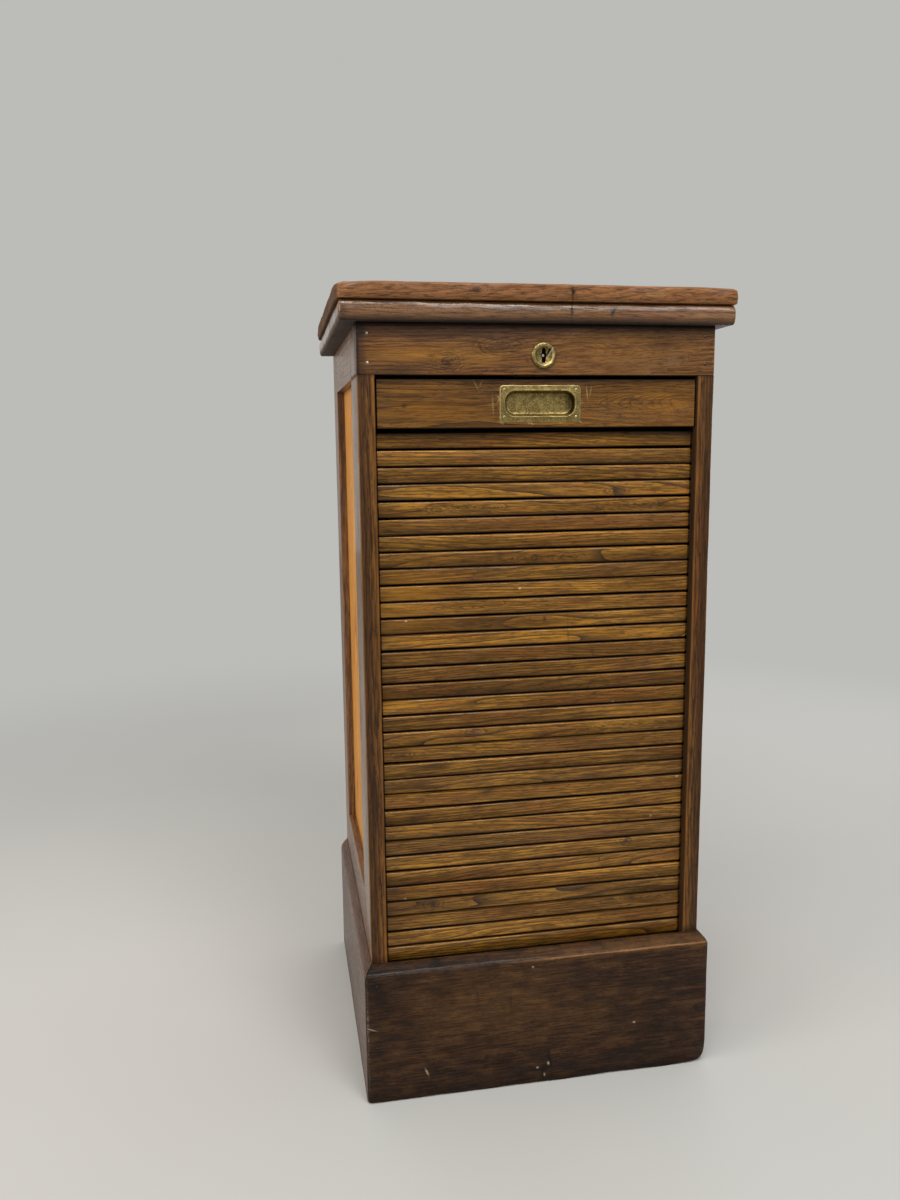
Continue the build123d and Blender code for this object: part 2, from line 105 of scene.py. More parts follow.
# Plinth
plinth_arris = 4 * mm
plinth_bevel_drop = 9 * mm
plinth_bevel_start_share = 1 / 14
plinth_worn_corner, plinth_worn_reach = 7 * mm, 18 * mm

# Shutter
slat_count = 33
slat_arris = 2 * mm
slat_play = 0.28 * mm
slat_tones = 0.55
slat_top_shade = 5.5 * mm
canvas_arris = 0.2 * mm
thread_pitch = 1.6 * mm
tongue_shoulder = 9.4 * mm
tongue_front, tongue_back = 2 * mm, 2 * mm
tongue_inset = 1.4 * mm
# How dark a tongue is past its shoulders: painted shade inside the grooves
tongue_shade = 0.6
track_half = 4 * mm
groove_depth = 8 * mm
groove_foot = 28 * mm
track_back_y = 157 * mm

# Inside
batten_thick, batten_height = 12 * mm, 15 * mm
back_rebate_half = 190 * mm
back_boards = 3

# Fittings
pull_seat_half = (41.5 * mm, 15 * mm)
pull_seat_depth = 9.2 * mm
pull_shade, pull_shade_start, pull_shade_reach = 0.85, 28 * mm, 9 * mm
key_hole_half = (3.8 * mm, 8.2 * mm)
hook_room, hook_behind = 1 * mm, 6 * mm
nail_radius, nail_rise, nail_sink = 1.6 * mm, 0.4 * mm, 1 * mm
screw_head_half = 2.3 * mm
pin_radius, pin_rise, pin_grime = 1.7 * mm, 0.7 * mm, 0.15
keyhole_eye, keyhole_slot_half, keyhole_slot_reach, keyhole_lip = 3.3 * mm, 2.2 * mm, 7.9 * mm, 0.4 * mm
escutcheon_steps = 144

# Stage
floor_half = 6.0
floor_fade = (0.9, 2.4)
floor_relief = 0.1 * mm
soft_light = 0.38


def box(node):
    """A node's lowest and highest corners as arrays."""
    low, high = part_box(node)
    return np.array(low), np.array(high)


def added(name, data):
    """A new object with this data, in the scene."""
    made = bpy.data.objects.new(name, data)
    bpy.context.scene.collection.objects.link(made)
    return made


def about(middle, half):
    """The span this far to each side of a middle."""
    return middle - half, middle + half


# Grids and stock

def wander(seed, size, count=7):
    """A smooth field from about -1 to 1: the mean of seeded sine waves, about as long as the given size."""
    draw = np.random.default_rng(seed)
    waves = draw.normal(size=(count, 3)) * tau / size / 2
    phases = draw.uniform(0, tau, count)
    return lambda points: 2 * np.sin(points @ waves.T + phases).mean(1)


def places(low, high, arris, step, pairs=(), fan=arris_fan):
    """Grid places from low to high: a fan of equal angles in the arris at each end, even steps between, and a
    close pair at each cut."""
    near, far = np.broadcast_to(arris, 2)
    spread = 1 - np.tan(np.linspace(0, pi / 4, fan + 1))
    count = max(2, round((high - low - near - far) / step) + 1)
    inner = np.linspace(low + near, high - far, count)
    at_cuts = [place + side * hair for place in pairs for side in (-1, 1)]
    found = np.concatenate([low + near * spread, inner, high - far * spread, at_cuts])
    return np.unique(np.round(found[(found >= low - hair / 2) & (found <= high + hair / 2)], 7))


def block_surface(grid):
    """The skin of a block with these grid places along X, Y and Z: each point once, and quads facing out."""
    counts = [len(along) for along in grid]
    quads = []
    for axis in range(3):
        first, second = (axis + 1) % 3, (axis + 2) % 3
        rows, columns = np.meshgrid(np.arange(counts[first]), np.arange(counts[second]), indexing="ij")
        for side in (0, counts[axis] - 1):
            index = [rows] * 3
            index[axis], index[second] = np.full_like(rows, side), columns
            flat = np.ravel_multi_index(index, counts)
            corners = [flat[:-1, :-1], flat[1:, :-1], flat[1:, 1:], flat[:-1, 1:]]
            quads.append(np.stack(corners if side else corners[::-1], -1).reshape(-1, 4))
    used, quads = np.unique(np.concatenate(quads), return_inverse=True)
    index = np.unravel_index(used, counts)
    return np.stack([grid[k][index[k]] for k in range(3)], -1), quads.reshape(-1, 4)


def rounded(points, low, high, radius):
    """Rounds a block's arrises: each point goes in to the block shrunk by the radii, then out the same way,
    measured in radii, as far as it had come along its greatest coordinate."""
    core = np.clip(points, low + radius, high - radius)
    out = (points - core) / np.maximum(radius, 1e-9)
    length = np.maximum(np.linalg.norm(out, axis=1), 1e-9)
    return core + radius * out * (np.abs(out).max(1) / length)[:, None]


def cut(axis, side, floor, **spans):
    """A cut from one side of a block down to a floor, within spans along the other axes."""
    return axis, side, floor, {"xyz".index(name): span for name, span in spans.items()}


def log_place(points, low, high, along, seed):
    """Grain coordinates: how far along the log, and across and through it from its pith, which is a seeded
    distance away, nearer to a wide board, and not quite in line with it."""
    draw = np.random.default_rng(seed)
    across, through = sorted({0, 1, 2} - {along}, key=lambda axis: low[axis] - high[axis])
    order = [along, across, through]
    grain = points[:, order] - ((low + high) / 2)[order]
    width = (high - low)[across]
    turn_share, away_share, lean_share = wide_shares if width > wide_board else (1, 1, 1)
    turn = draw.uniform(-pi / 2, pi / 2) * turn_share
    away = draw.uniform(*pith_away) * width * away_share
    lean = draw.normal(0, pith_lean, 2) * lean_share
    grain[:, 1:] += away * np.array([sin(turn), cos(turn)]) + lean * grain[:, :1]
    grain[:, 0] += draw.uniform(-log_half, log_half)
    return grain


def stock(low, high, along, arris, cuts=(), seed=0, tone=0.0, worn=0.3, bend=None, step=grid_step,
          fan=arris_fan, soft=(), tongue=None):
    """A length of stock: a block with wavy faces, and with cuts clipped into it. Its arris radii, which may
    differ by axis and side, wander by the share worn and grow by an extra near each soft place. Where a
    tongue's section is given, the whole section shrinks to it, evenly, past a shoulder at each end.

    It holds points, quads, and at each point the grain coordinates, a tone, the distance to the nearest
    arris in millimetres, and the grime and painted shade, which is 1 in its cuts as painted shade in the
    recesses.
    """
    low, high = np.array(low, float), np.array(high, float)
    pairs = [[low[0] + tongue_shoulder, high[0] - tongue_shoulder] if tongue else [], [], []]
    for *_, spans in cuts:
        for other, span in spans.items():
            pairs[other] += [edge for edge in span if low[other] < edge < high[other]]
    arris = np.minimum(np.broadcast_to(arris, (2, 3)), (high - low) / 2)
    grid = [places(low[k], high[k], arris[:, k], step, pairs[k], fan) for k in range(3)]
    points, quads = block_surface(grid)
    inset = np.sort(np.minimum(points - low, high - points), axis=1)
    uneven = wander(seed + 7, arris_wave)(points) + 0.7 * wander(seed + 8, arris_ripple)(points)
    radius = np.where(points > (low + high) / 2, arris[1], arris[0]) * (1 + worn * uneven)[:, None]
    for place, reach, extra in soft:
        radius += extra * np.exp(-((points - place) ** 2).sum(1) / reach**2)[:, None]
    shaped = rounded(points, low, high, np.minimum(radius, (high - low) / 2))
    if worn:
        waves = [wander(seed + 20 + k, face_wave_length)(points) for k in range(3)]
        shaped += face_wave * np.stack(waves, -1)
    grime = np.zeros(len(points))
    # Each cut's inside is made fully dark: painted shade in the recess
    for axis, side, floor, spans in cuts:
        inside = np.all([(points[:, k] > a) & (points[:, k] < b) for k, (a, b) in spans.items()], axis=0)
        deeper = shaped[:, axis] * side > floor * side
        shaped[inside & deeper, axis] = floor
        grime[inside & deeper] = 1
    if tongue:
        foot, head = tongue
        past = np.minimum(points[:, 0] - low[0], high[0] - points[:, 0]) < tongue_shoulder
        shares = (shaped[past, 1:] - low[1:]) / (high - low)[1:]
        shaped[past, 1:] = foot + shares * (head - foot)
        # Past the shoulders the tongue is darkened: painted shade inside the groove
        grime[past] = tongue_shade
    return {
        "points": bend(shaped) if bend else shaped,
        "quads": quads,
        "grain": log_place(points, low, high, along, seed),
        "tone": np.full(len(points), tone),
        "edge": np.minimum(inset[:, 1], edge_reach) / mm,
        "grime": grime,
    }


def darkened(part, share, *faces):
    """Darkens a part near faces, for grime and for painted shade alike: each an axis, the face's place and
    how far the darkening spreads.
    """
    for axis, place, reach in faces:
        near = np.clip(1 - np.abs(part["points"][:, axis] - place) / reach, 0, 1)
        part["grime"] = np.maximum(part["grime"], share * np.sqrt(near))


def swept(rings, edge, closed=False):
    """Rings of points, each joined to the next with quads, and the last to the first where closed."""
    rings = np.array(rings)
    count, around = rings.shape[:2]
    index = np.arange(count * around).reshape(count, around)
    if closed:
        index = np.vstack([index, index[:1]])
    turn = np.roll(index, -1, axis=1)
    corners = [index[:-1], turn[:-1], turn[1:], index[1:]]
    points = rings.reshape(-1, 3)
    return {
        "points": points,
        "quads": np.stack(corners, -1).reshape(-1, 4),
        "grain": points.copy(),
        "tone": np.zeros(len(points)),
        "edge": np.repeat(edge, around),
        "grime": np.zeros(len(points)),
    }


fields = {"grain": "FLOAT_VECTOR", "tone": "FLOAT", "edge": "FLOAT", "grime": "FLOAT"}


def piece(name, node, slot, finish, *parts, body="cabinet"):
    """One object from lengths of stock, welded, smooth but for its sharp arrises, that stands for a node."""
    starts = np.cumsum([0] + [len(part["points"]) for part in parts])
    mesh = bpy.data.meshes.new(name)
    quads = np.concatenate([part["quads"] + start for part, start in zip(parts, starts)])
    mesh.from_pydata(np.concatenate([part["points"] for part in parts]), [], quads)
    for field, kind in fields.items():
        values = np.concatenate([part[field] for part in parts]).astype(np.float32)
        layer = mesh.attributes.new(field, kind, "POINT")
        layer.data.foreach_set("vector" if kind == "FLOAT_VECTOR" else "value", values.ravel())
    work = bmesh.new()
    work.from_mesh(mesh)
    bmesh.ops.remove_doubles(work, verts=work.verts, dist=weld)
    bmesh.ops.dissolve_degenerate(work, dist=weld, edges=work.edges)
    bmesh.ops.recalc_face_normals(work, faces=work.faces)
    work.to_mesh(mesh)
    work.free()
    mesh.shade_smooth()
    mesh.set_sharp_from_angle(angle=sharp_angle)
    mesh.materials.append(finish)
    made = added(name, mesh)
    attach(made, body)
    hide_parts(node)
    return made


# Finishes

class Value:
    """A socket in a tree of nodes. Arithmetic on it adds Math nodes and gives the socket of the result."""

    def __init__(self, nodes, socket):
        self.nodes = nodes
        self.socket = socket

    def __add__(self, other):
        return self.nodes.math("ADD", self, other)

    def __sub__(self, other):
        return self.nodes.math("SUBTRACT", self, other)

    def __rsub__(self, other):
        return self.nodes.math("SUBTRACT", other, self)

    def __mul__(self, other):
        return self.nodes.math("MULTIPLY", self, other)

    def __truediv__(self, other):
        return self.nodes.math("DIVIDE", self, other)

    def __pow__(self, other):
        return self.nodes.math("POWER", self, other)

    __radd__ = __add__
    __rmul__ = __mul__


class Nodes:
    """A tree of nodes, a finish's or the surroundings'."""

    def __init__(self, tree):
        self.tree = tree

    def node(self, kind, settings, sockets, output=0):
        """Adds a node: first its settings, then the value or link of each socket. Gives one output."""
        made = self.tree.nodes.new(kind)
        for setting, value in settings.items():
            setattr(made, setting, value)
        for socket, value in sockets.items():
            if isinstance(value, Value):
                self.tree.links.new(value.socket, made.inputs[socket])
            else:
                made.inputs[socket].default_value = value
        return Value(self, made.outputs[output])

    def math(self, operation, *terms):
        return self.node("ShaderNodeMath", {"operation": operation}, dict(enumerate(terms)))

    def ray(self, kind):
        """1 where the light path is of a kind, and else 0."""
        return self.node("ShaderNodeLightPath", {}, {}, f"Is {kind} Ray")

    def show(self, share, first, second, output):
        """Gives an output node the first shader, and the second one by its share."""
        both = self.node("ShaderNodeMixShader", {}, {0: share, 1: first, 2: second})
        self.tree.links.new(both.socket, self.tree.nodes[output].inputs["Surface"])


class Finish(Nodes):
    """A material, the nodes that feed its surface shader, and the place in the object's own frame."""

    def __init__(self, name, **constants):
        self.material = bpy.data.materials.new(name)
        self.material.use_nodes = True
        super().__init__(self.material.node_tree)
        self.shader = self.tree.nodes["Principled BSDF"]
        for socket, value in constants.items():
            self.shader.inputs[socket.replace("_", " ")].default_value = value
        self.point = self.node("ShaderNodeTexCoord", {}, {}, "Object")
        self.x, self.y, self.z = self.split(self.point)

    def vector(self, operation, *terms, output=0):
        return self.node("ShaderNodeVectorMath", {"operation": operation}, dict(enumerate(terms)), output)

    def attribute(self, name, output="Fac"):
        return self.node("ShaderNodeAttribute", {"attribute_name": name}, {}, output)

    def split(self, vector):
        """A vector's three parts."""
        return [self.node("ShaderNodeSeparateXYZ", {}, {0: vector}, axis) for axis in range(3)]

    def spot(self, x, z, reach, height, turn=0.0):
        """A soft spot on an upright face, in millimetres, from 1 at its middle: exp(-(u / reach)^2 -
        (v / height)^2), with u and v turned by an angle."""
        right, up = self.x - x * mm, self.z - z * mm
        u = (right * cos(turn) + up * sin(turn)) / (reach * mm)
        v = (up * cos(turn) - right * sin(turn)) / (height * mm)
        return self.math("EXPONENT", 0 - u * u - v * v)

    def spots(self, *marks):
        """The sum of marks on the front: each an x, a height, its reach and height, a turn and a strength."""
        total = 0.0
        for *place, strength in marks:
            total = strength * self.spot(*place) + total
        return total * self.span(self.y, *front_marks)

    def noise(self, vector, scales, detail=2.0, rough=0.5):
        """Noise with this many waves to the metre along each of the vector's axes, or along all."""
        scaled = self.vector("MULTIPLY", vector, [float(scale) for scale in np.broadcast_to(scales, 3)])
        sockets = {"Vector": scaled, "Scale": 1.0, "Detail": detail, "Roughness": rough}
        return self.node("ShaderNodeTexNoise", {}, sockets)

    def span(self, value, low, high):
        """A smooth step from 0 at low to 1 at high."""
        sockets = {"Value": value, "From Min": low, "From Max": high}
        return self.node("ShaderNodeMapRange", {"interpolation_type": "SMOOTHSTEP"}, sockets)

    def mix(self, share, first, second):
        """The first colour, and the second one by its share."""
        sockets = {0: share, 6: first, 7: second}
        return self.node("ShaderNodeMix", {"data_type": "RGBA", "clamp_factor": True}, sockets, 2)

    def bright(self, colour, value):
        """The colour made brighter or darker by a factor."""
        return self.node("ShaderNodeHueSaturation", {}, {"Color": colour, "Value": value})

    def feed(self, colour, rough, height, depth, **others):
        """Joins colour, roughness and relief, which is this deep, to the shader, and what else varies."""
        sockets = {"Height": height, "Distance": depth, "Strength": 1.0}
        relief = self.node("ShaderNodeBump", {}, sockets)
        for socket, value in {"Base Color": colour, "Roughness": rough, "Normal": relief, **others}.items():
            self.tree.links.new(value.socket, self.shader.inputs[socket.replace("_", " ")])
        return self.material


def paint(red, green, blue):
    """A colour given as a screen shows it, from 0 to 255, as linear light."""
    shares = np.array([red, green, blue]) / 255
    linear = np.where(shares > 0.04045, ((shares + 0.055) / 1.055) ** 2.4, shares / 12.92)
    return (*map(float, linear), 1.0)


deep = paint(15, 9, 5)
background = paint(188, 188, 185)
ruddy_shares = (1.0, 0.74, 0.6, 1.0)


def wood(name, dark, plain, gold, golden=0.6, ring=3.4 * mm, ringed=0.9, streaked=0.3, fibred=0.62,
         pored=0.45, gloss=0.19, rough=0.38, polish=0.35, rubbing=0.4, ruddied=0.55, marks=None):
    """Varnished wood: golden and ruddy patches, streaks, fibres, rings about the log's pith, pores, blotches
    and rubbed arrises, under a coat that is worn in places.

    The rings are the pith distance, made uneven by a slow field and divided by the ring width: a dark line
    where each one starts. marks, if given, changes the rings, adds stains for one board's own knots and
    scuffs, and may say how much of the coat each place keeps.
    """
    finish = Finish(name, Specular_IOR_Level=gloss, Coat_Roughness=coat_roughness)
    grain = finish.attribute("grain", "Vector")
    tone, edge, grime = (finish.attribute(field) for field in ("tone", "edge", "grime"))
    sway = finish.noise(grain, (3, 16, 16))
    bent = finish.vector("MULTIPLY_ADD", sway, (0, grain_sway, grain_sway), grain)
    away = finish.vector("LENGTH", finish.vector("MULTIPLY", bent, (0, 1, 1)), output=1)
    rings = (away + ring_stir * finish.noise(grain, (4, 26, 26), 1.5)) / ring
    rings, stains, *kept = marks(finish, rings) if marks else (rings, [])
    patch = finish.noise(grain, (5, 26, 26), 3.0)
    ruddy = finish.span(finish.noise(grain, (9, 48, 48)), 0.5, 0.66)
    streak = finish.noise(bent, (10, 250, 250), 3.0, 0.6)
    fibre = finish.noise(bent, (28, 580, 580), 3.0, 0.65)
    pore = finish.span(finish.noise(bent, (85, 760, 760), 1.0), 0.58, 0.64)
    blotch = finish.span(finish.noise(bent, (13, 75, 75), 3.0, 0.6), 0.58, 0.74)
    turn = finish.math("FRACT", rings)
    line = (1 - turn) ** 4 * finish.span(streak + 0.8 * (patch - 0.5), 0.25, 0.45)
    colour = finish.mix(finish.span(patch, 0.36, 0.64) * golden, plain, gold)
    colour = finish.mix(ruddy * ruddied, colour, tuple(np.multiply(plain, ruddy_shares)))
    colour = finish.mix(finish.span(streak, 0.56, 0.36) * streaked, colour, dark)
    colour = finish.mix(finish.span(fibre, 0.54, 0.38) * fibred, colour, dark)
    colour = finish.mix(line * ringed + (1 - turn) * 0.12, colour, dark)
    colour = finish.mix(blotch * 0.5, colour, dark)
    colour = finish.mix(pore * pored, colour, deep)
    colour = finish.mix(finish.span(edge + 6 * (fibre - 0.5), 2.2, 0.2) * rubbing, colour, gold)
    for share, stain in stains:
        colour = finish.mix(share * (0.55 + 0.9 * fibre), colour, stain)
    # Grime and painted shade from the mesh darken the colour towards the deep paint
    colour = finish.mix(grime * (1.3 - 0.6 * patch), colour, deep)
    lightness = 1.03 + 0.22 * tone + streaked * (streak - 0.5) + 1.05 * (fibre - 0.5)
    shine = rough + 0.3 * (fibre - 0.5) + 0.15 * pore + 0.5 * grime
    height = streak * 0.3 + fibre * 0.6 - pore * 0.5 - line * 0.4 - blotch * 0.2
    coat = polish * finish.span(fibre + 0.6 * (patch - 0.5) - 0.5 * grime, 0.25, 0.65)
    for share in kept:
        coat = coat * share
    return finish.feed(finish.bright(colour, lightness), shine, height, wood_relief, Coat_Weight=coat)


def figured(finish, rings, knots, arches):
    """A board's own figure: a knot raises a round hill in the rings; an arch turns them into a nest of
    parabolas whose tips point one way along the board, and is this long and this tall."""
    front = finish.span(finish.y, *front_marks)
    for *place, count in knots:
        rings = rings + count * front * finish.spot(*place)
    for tip_x, tip_z, way, reach, tall in arches:
        nest = (finish.x - tip_x * mm) * way / arch_pitch
        nest = nest + ((finish.z - tip_z * mm) / (0.33 * tall * mm)) ** 2
        nest = nest + 2.2 * finish.noise(finish.point, (30, 30, 130), 3.0, 0.6)
        share = finish.spot(tip_x - way * 0.5 * reach, tip_z, reach, tall)
        rings = rings + finish.span(share * front, 0.2, 0.6) * (nest - rings)
    return rings


def growth_rings(finish, count, *knots):
    """Broken rings about knots: this many bands, at even steps of a soft spot's height, stirred by noise."""
    ragged = finish.noise(finish.point, (70, 70, 110), 4.0, 0.6)
    heart = finish.spots(*((*knot, 0, 1.0) for knot in knots))
    turn = finish.math("FRACT", count * heart + 2.2 * ragged)
    broken = finish.span(finish.noise(finish.point, 160), 0.36, 0.6)
    band = finish.span(turn, 0.0, 0.35) * finish.span(turn, 0.75, 0.4)
    return band * finish.span(heart, 0.1, 0.4) * broken


def top_board_marks(finish, rings):
    """A small knot, and scratches across the grain near the right-hand end."""
    rings = figured(finish, rings, [(-73.8, 917.1, 9, 6, 3)], [])
    dark = finish.spots(
        (-73.8, 917.1, 5, 3.5, 0, 0.8), (30, 916, 5, 2, 0.9, 0.7), (30, 918, 4, 1.5, -0.8, 0.6),
    )
    pale = finish.spots(*((112 + 3 * step, 915, 6, 0.4, 0.9, 0.6) for step in range(8)))
    return rings, [(dark, deep), (pale, paint(160, 124, 84))]


def moulding_marks(finish, rings):
    """A dent with a dark heart, the crack's dirty lips, and a painted dark reflection at the left front
    corner.
    """
    dark = finish.spots(
        (76.8, 898.5, 3.5, 1.6, 0.9, 1.0), (75, 896, 2.5, 2.5, 0, 0.6), (30, 899, 1.6, 9, 0, 0.8),
        # Painted dark reflection down the left front corner
        (-213, 898, 3, 9, 0, 0.6),
    )
    return rings, [(dark, deep)]


def lock_rail_marks(finish, rings):
    """A knot at the left, a swirl left of the escutcheon, an arch to its right, a darker left end, and
    painted shadow of the moulding along the top.
    """
    hills = [(-103, 845.3, 18, 13, 2), (-46, 861.3, 26, 14, 1.6)]
    rings = figured(finish, rings, hills, [(128, 857.3, 1, 62, 20)])
    knots = growth_rings(finish, 5, (-103, 845.3, 15, 11), (-46, 862, 26, 10))
    # The bands at heights 885 and 886 are painted shadow of the moulding; the one at 874 is partly painted
    # shadow and partly darker varnish
    dark = finish.spots(
        (-103, 844.5, 4.5, 3.5, 0, 0.75), (-46, 862, 12, 4, 0.2, 0.3), (-195, 858, 5, 60, 0, 0.6),
        (-198.6, 858, 1.6, 60, 0, 0.8), (-121, 852, 4, 2, 0, 0.5), (-110, 874, 110, 6, 0, 0.45),
        (-160, 836, 34, 6, 0.05, 0.6), (0, 885, 600, 9, 0, 0.5), (0, 886, 900, 2.6, 0, 0.9),
        (-1, 838.5, 8, 1.6, 0.1, 0.7), (8, 836.5, 5, 1.2, -0.3, 0.6), (-16, 848, 1.5, 4, 0.3, 0.4),
    )
    warm = finish.spots(
        (90, 850, 60, 18, 0, 0.35), (-135, 853, 50, 7, 0.02, 0.8), (-62, 850, 24, 7, 0, 0.5),
    )
    return rings, [(warm, paint(138, 94, 34)), (dark + 0.6 * knots, paint(38, 22, 15))]


def lead_rail_marks(finish, rings):
    """Arches at the rail's right, and wood scraped pale and chipped round the flush pull's plate."""
    rings = figured(finish, rings, [], [(82, 802.4, -1, 62, 20)])
    low, high = box("flush_pull")
    out_x = finish.math("ABSOLUTE", finish.x) - high[0]
    out_z = finish.math("ABSOLUTE", finish.z - (low[2] + high[2]) / 2) - (high[2] - low[2]) / 2
    away = finish.math("MAXIMUM", out_x, out_z)
    ragged = finish.noise(finish.point, 240, 4.0, 0.7)
    scraped = finish.span(away + 20 * mm * (ragged - 0.4), 3 * mm, 0.8 * mm)
    scraped = scraped * finish.span(finish.noise(finish.point, 45), 0.4, 0.6)
    scratch = finish.spots(
        (53, 813, 0.6, 6, 0.1, 0.8), (57, 815, 0.5, 5, -0.2, 0.7), (-53, 800, 0.6, 9, 0.05, 0.6),
        (-72, 822, 0.7, 5, 0.5, 0.6), (-66, 824, 0.6, 4, -0.4, 0.5),
    )
    gilt = finish.spots((150, 795, 40, 22, 0, 0.3), (-120, 796, 50, 10, 0, 0.3))
    dark = finish.spots((-150, 799.8, 3, 2, 0.3, 0.8))
    return rings, [(gilt, paint(144, 90, 16)), (dark, deep), (scraped * 0.7 + scratch, paint(156, 128, 82))]


def stile_marks(finish, rings):
    """A golden inner edge, a darker, redder outer half, a paler, warmer side face painted as a reflection of
    warm glare, and a coat that is whole on the side alone.
    """
    out = finish.math("ABSOLUTE", finish.x)
    ragged = finish.noise(finish.point, (90, 90, 12), 3.0, 0.6)
    outer = finish.span(out + 9 * mm * (ragged - 0.5), 187 * mm, 193 * mm)
    inner = finish.span(out + 6 * mm * (ragged - 0.5), 185 * mm, 182 * mm)
    side = finish.span(out, 198.6 * mm, 199.6 * mm)
    stains = [
        (inner * 0.5, paint(136, 88, 36)), (outer * (1 - side) * 0.55, paint(48, 28, 14)),
        # The side's pale warm stain is painted reflection
        (side * 0.5, paint(132, 94, 58)),
    ]
    return rings, stains, 0.05 + 0.95 * side


def slat_marks(finish, rings):
    """Eyes and arches in a few slats, smoky patches and small knots, a crack, and specks of dust."""
    rings = figured(
        finish, rings,
        [(110, 696, 60, 12, 0.8), (10, 632, 70, 8, 0.8), (-112, 689, 40, 8, 0.8)],
        [(-60, 690, 1, 40, 9), (-120, 579, -1, 50, 9), (126, 431, 1, 46, 9), (120, 213, -1, 40, 9)],
    )
    dark = finish.spots(
        (92, 706, 6, 4, 0.3, 0.5), (-44, 636, 4, 7, 0.2, 0.4), (8, 562, 2, 4, 0, 0.7),
        (36, 542, 0.7, 22, 0.05, 0.5), (-76, 434, 7, 4, 0.4, 0.6), (-158, 412, 5, 2.5, 0, 0.6),
        (-59, 362, 11, 4, 0.1, 0.7), (-72, 343, 12, 4, 0.3, 0.6), (110, 287, 6, 3, 0.5, 0.8),
        (-171, 251, 12, 6, 0, 0.7), (-125, 229, 4, 4, -0.6, 0.8), (77, 267, 1, 3, 0, 0.8),
        (120, 213, 6, 3, 0.2, 0.4), (150, 752, 40, 5, 0, 0.3), (60, 614, 60, 5, 0.02, 0.3),
    )
    eyes = growth_rings(
        finish, 3, (-15, 632, 15, 5), (36, 632, 21, 6), (92, 706, 15, 5), (125, 690, 20, 6), (82, 688, 13, 5),
        (-112, 689, 18, 6), (-76, 434, 16, 6), (-158, 412, 14, 5), (110, 287, 14, 6), (-125, 229, 14, 6),
    )
    gilt = finish.spots(
        (-150, 590, 40, 30, 0, 0.5), (-160, 475, 22, 7, 0, 0.6), (150, 450, 50, 12, 0, 0.3),
    )
    specks = (-21, 598), (-151, 566), (-158, 239), (141, 316), (150, 238), (173, 363), (91, 460)
    dust = finish.spots(*((*speck, 1.1, 0.8, 0.4, 0.9) for speck in specks))
    return rings, [
        (gilt, paint(156, 106, 24)), (dark + 0.6 * eyes, paint(40, 23, 10)), (dust, paint(196, 176, 140)),
    ]


def plinth_marks(finish, rings):
    """A chipped blemish low in the middle of the front, scratches, spots, a warm middle, darker ends and
    foot, a warm band on the bevel to the right that is partly its colour and partly painted light, a
    painted bluish highlight down the left front arris, and a pale worn arris to the right."""
    ragged = finish.noise(finish.point, 420, 3.0, 0.7)
    mottle = finish.noise(finish.point, (34, 34, 80), 5.0, 0.72)
    # The warm spot at (150, 161) lies on the bevel: partly its colour, partly painted light on the upward
    # face
    warm = finish.spots(
        (-70, 116, 90, 40, 0, 0.5), (60, 90, 70, 30, 0, 0.25), (150, 161, 150, 7, 0, 0.7),
    )
    warm = warm + 0.45 * finish.span(mottle, 0.5, 0.66)
    dark = finish.spots(
        (8.5, 38, 1.8, 5, 0, 0.9), (10, 27, 2.4, 6, 0.15, 1.2), (4, 19.5, 6, 3, 0.3, 1.2),
        (-9, 18.5, 6, 2.2, -0.1, 1.0), (2, 12, 2.5, 5, -0.2, 0.9), (-67.3, 41.4, 4, 3, 0, 0.8),
        (150, 70, 60, 60, 0, 0.35), (0, 0, 260, 30, 0, 0.45), (-120, 163, 110, 6, 0, 0.6),
        (-195.5, 77, 3, 3, 0, 0.9), (-195.5, 148, 3, 3, 0, 0.9), (196, 73, 3, 3, 0, 0.9),
        (-200, 120, 25, 60, 0, 0.35), (-78, 120, 1.5, 9, 0.1, 0.4), (-38, 108, 1.5, 12, 0, 0.4),
        (60, 100, 50, 4, 0.05, 0.3),
    )
    dark = dark + 0.5 * finish.span(mottle, 0.5, 0.36)
    pale = finish.spots(
        (-5.5, 20.7, 1.1, 1, 0, 1.0), (8, 24.6, 1.1, 1.8, 0.2, 1.0), (3.2, 10.5, 0.9, 1.8, 0.1, 0.8),
        (-203.6, 95, 0.7, 6, 1.2, 0.6), (-139.3, 33.1, 1, 4, 0.4, 0.7), (-11.4, 151.1, 1.2, 1, 0, 0.8),
        (115.5, 64.7, 1.4, 1, 0, 0.8),
    )
    # Painted highlight: a pale bluish line down the left front arris
    painted_arris_highlight = finish.spots((-207.5, 90, 1.6, 55, 0, 0.6)) * finish.span(ragged, 0.4, 0.6)
    rim = finish.span(finish.attribute("edge") + 3 * (ragged - 0.5), 1.8, 0.3)
    rim = rim * finish.span(finish.x, -60 * mm, 60 * mm)
    return rings, [
        (warm, paint(90, 62, 34)), (dark, paint(28, 20, 17)), (painted_arris_highlight, paint(118, 116, 116)),
        (pale, paint(190, 170, 140)), (rim * 0.7, paint(150, 108, 66)),
    ]


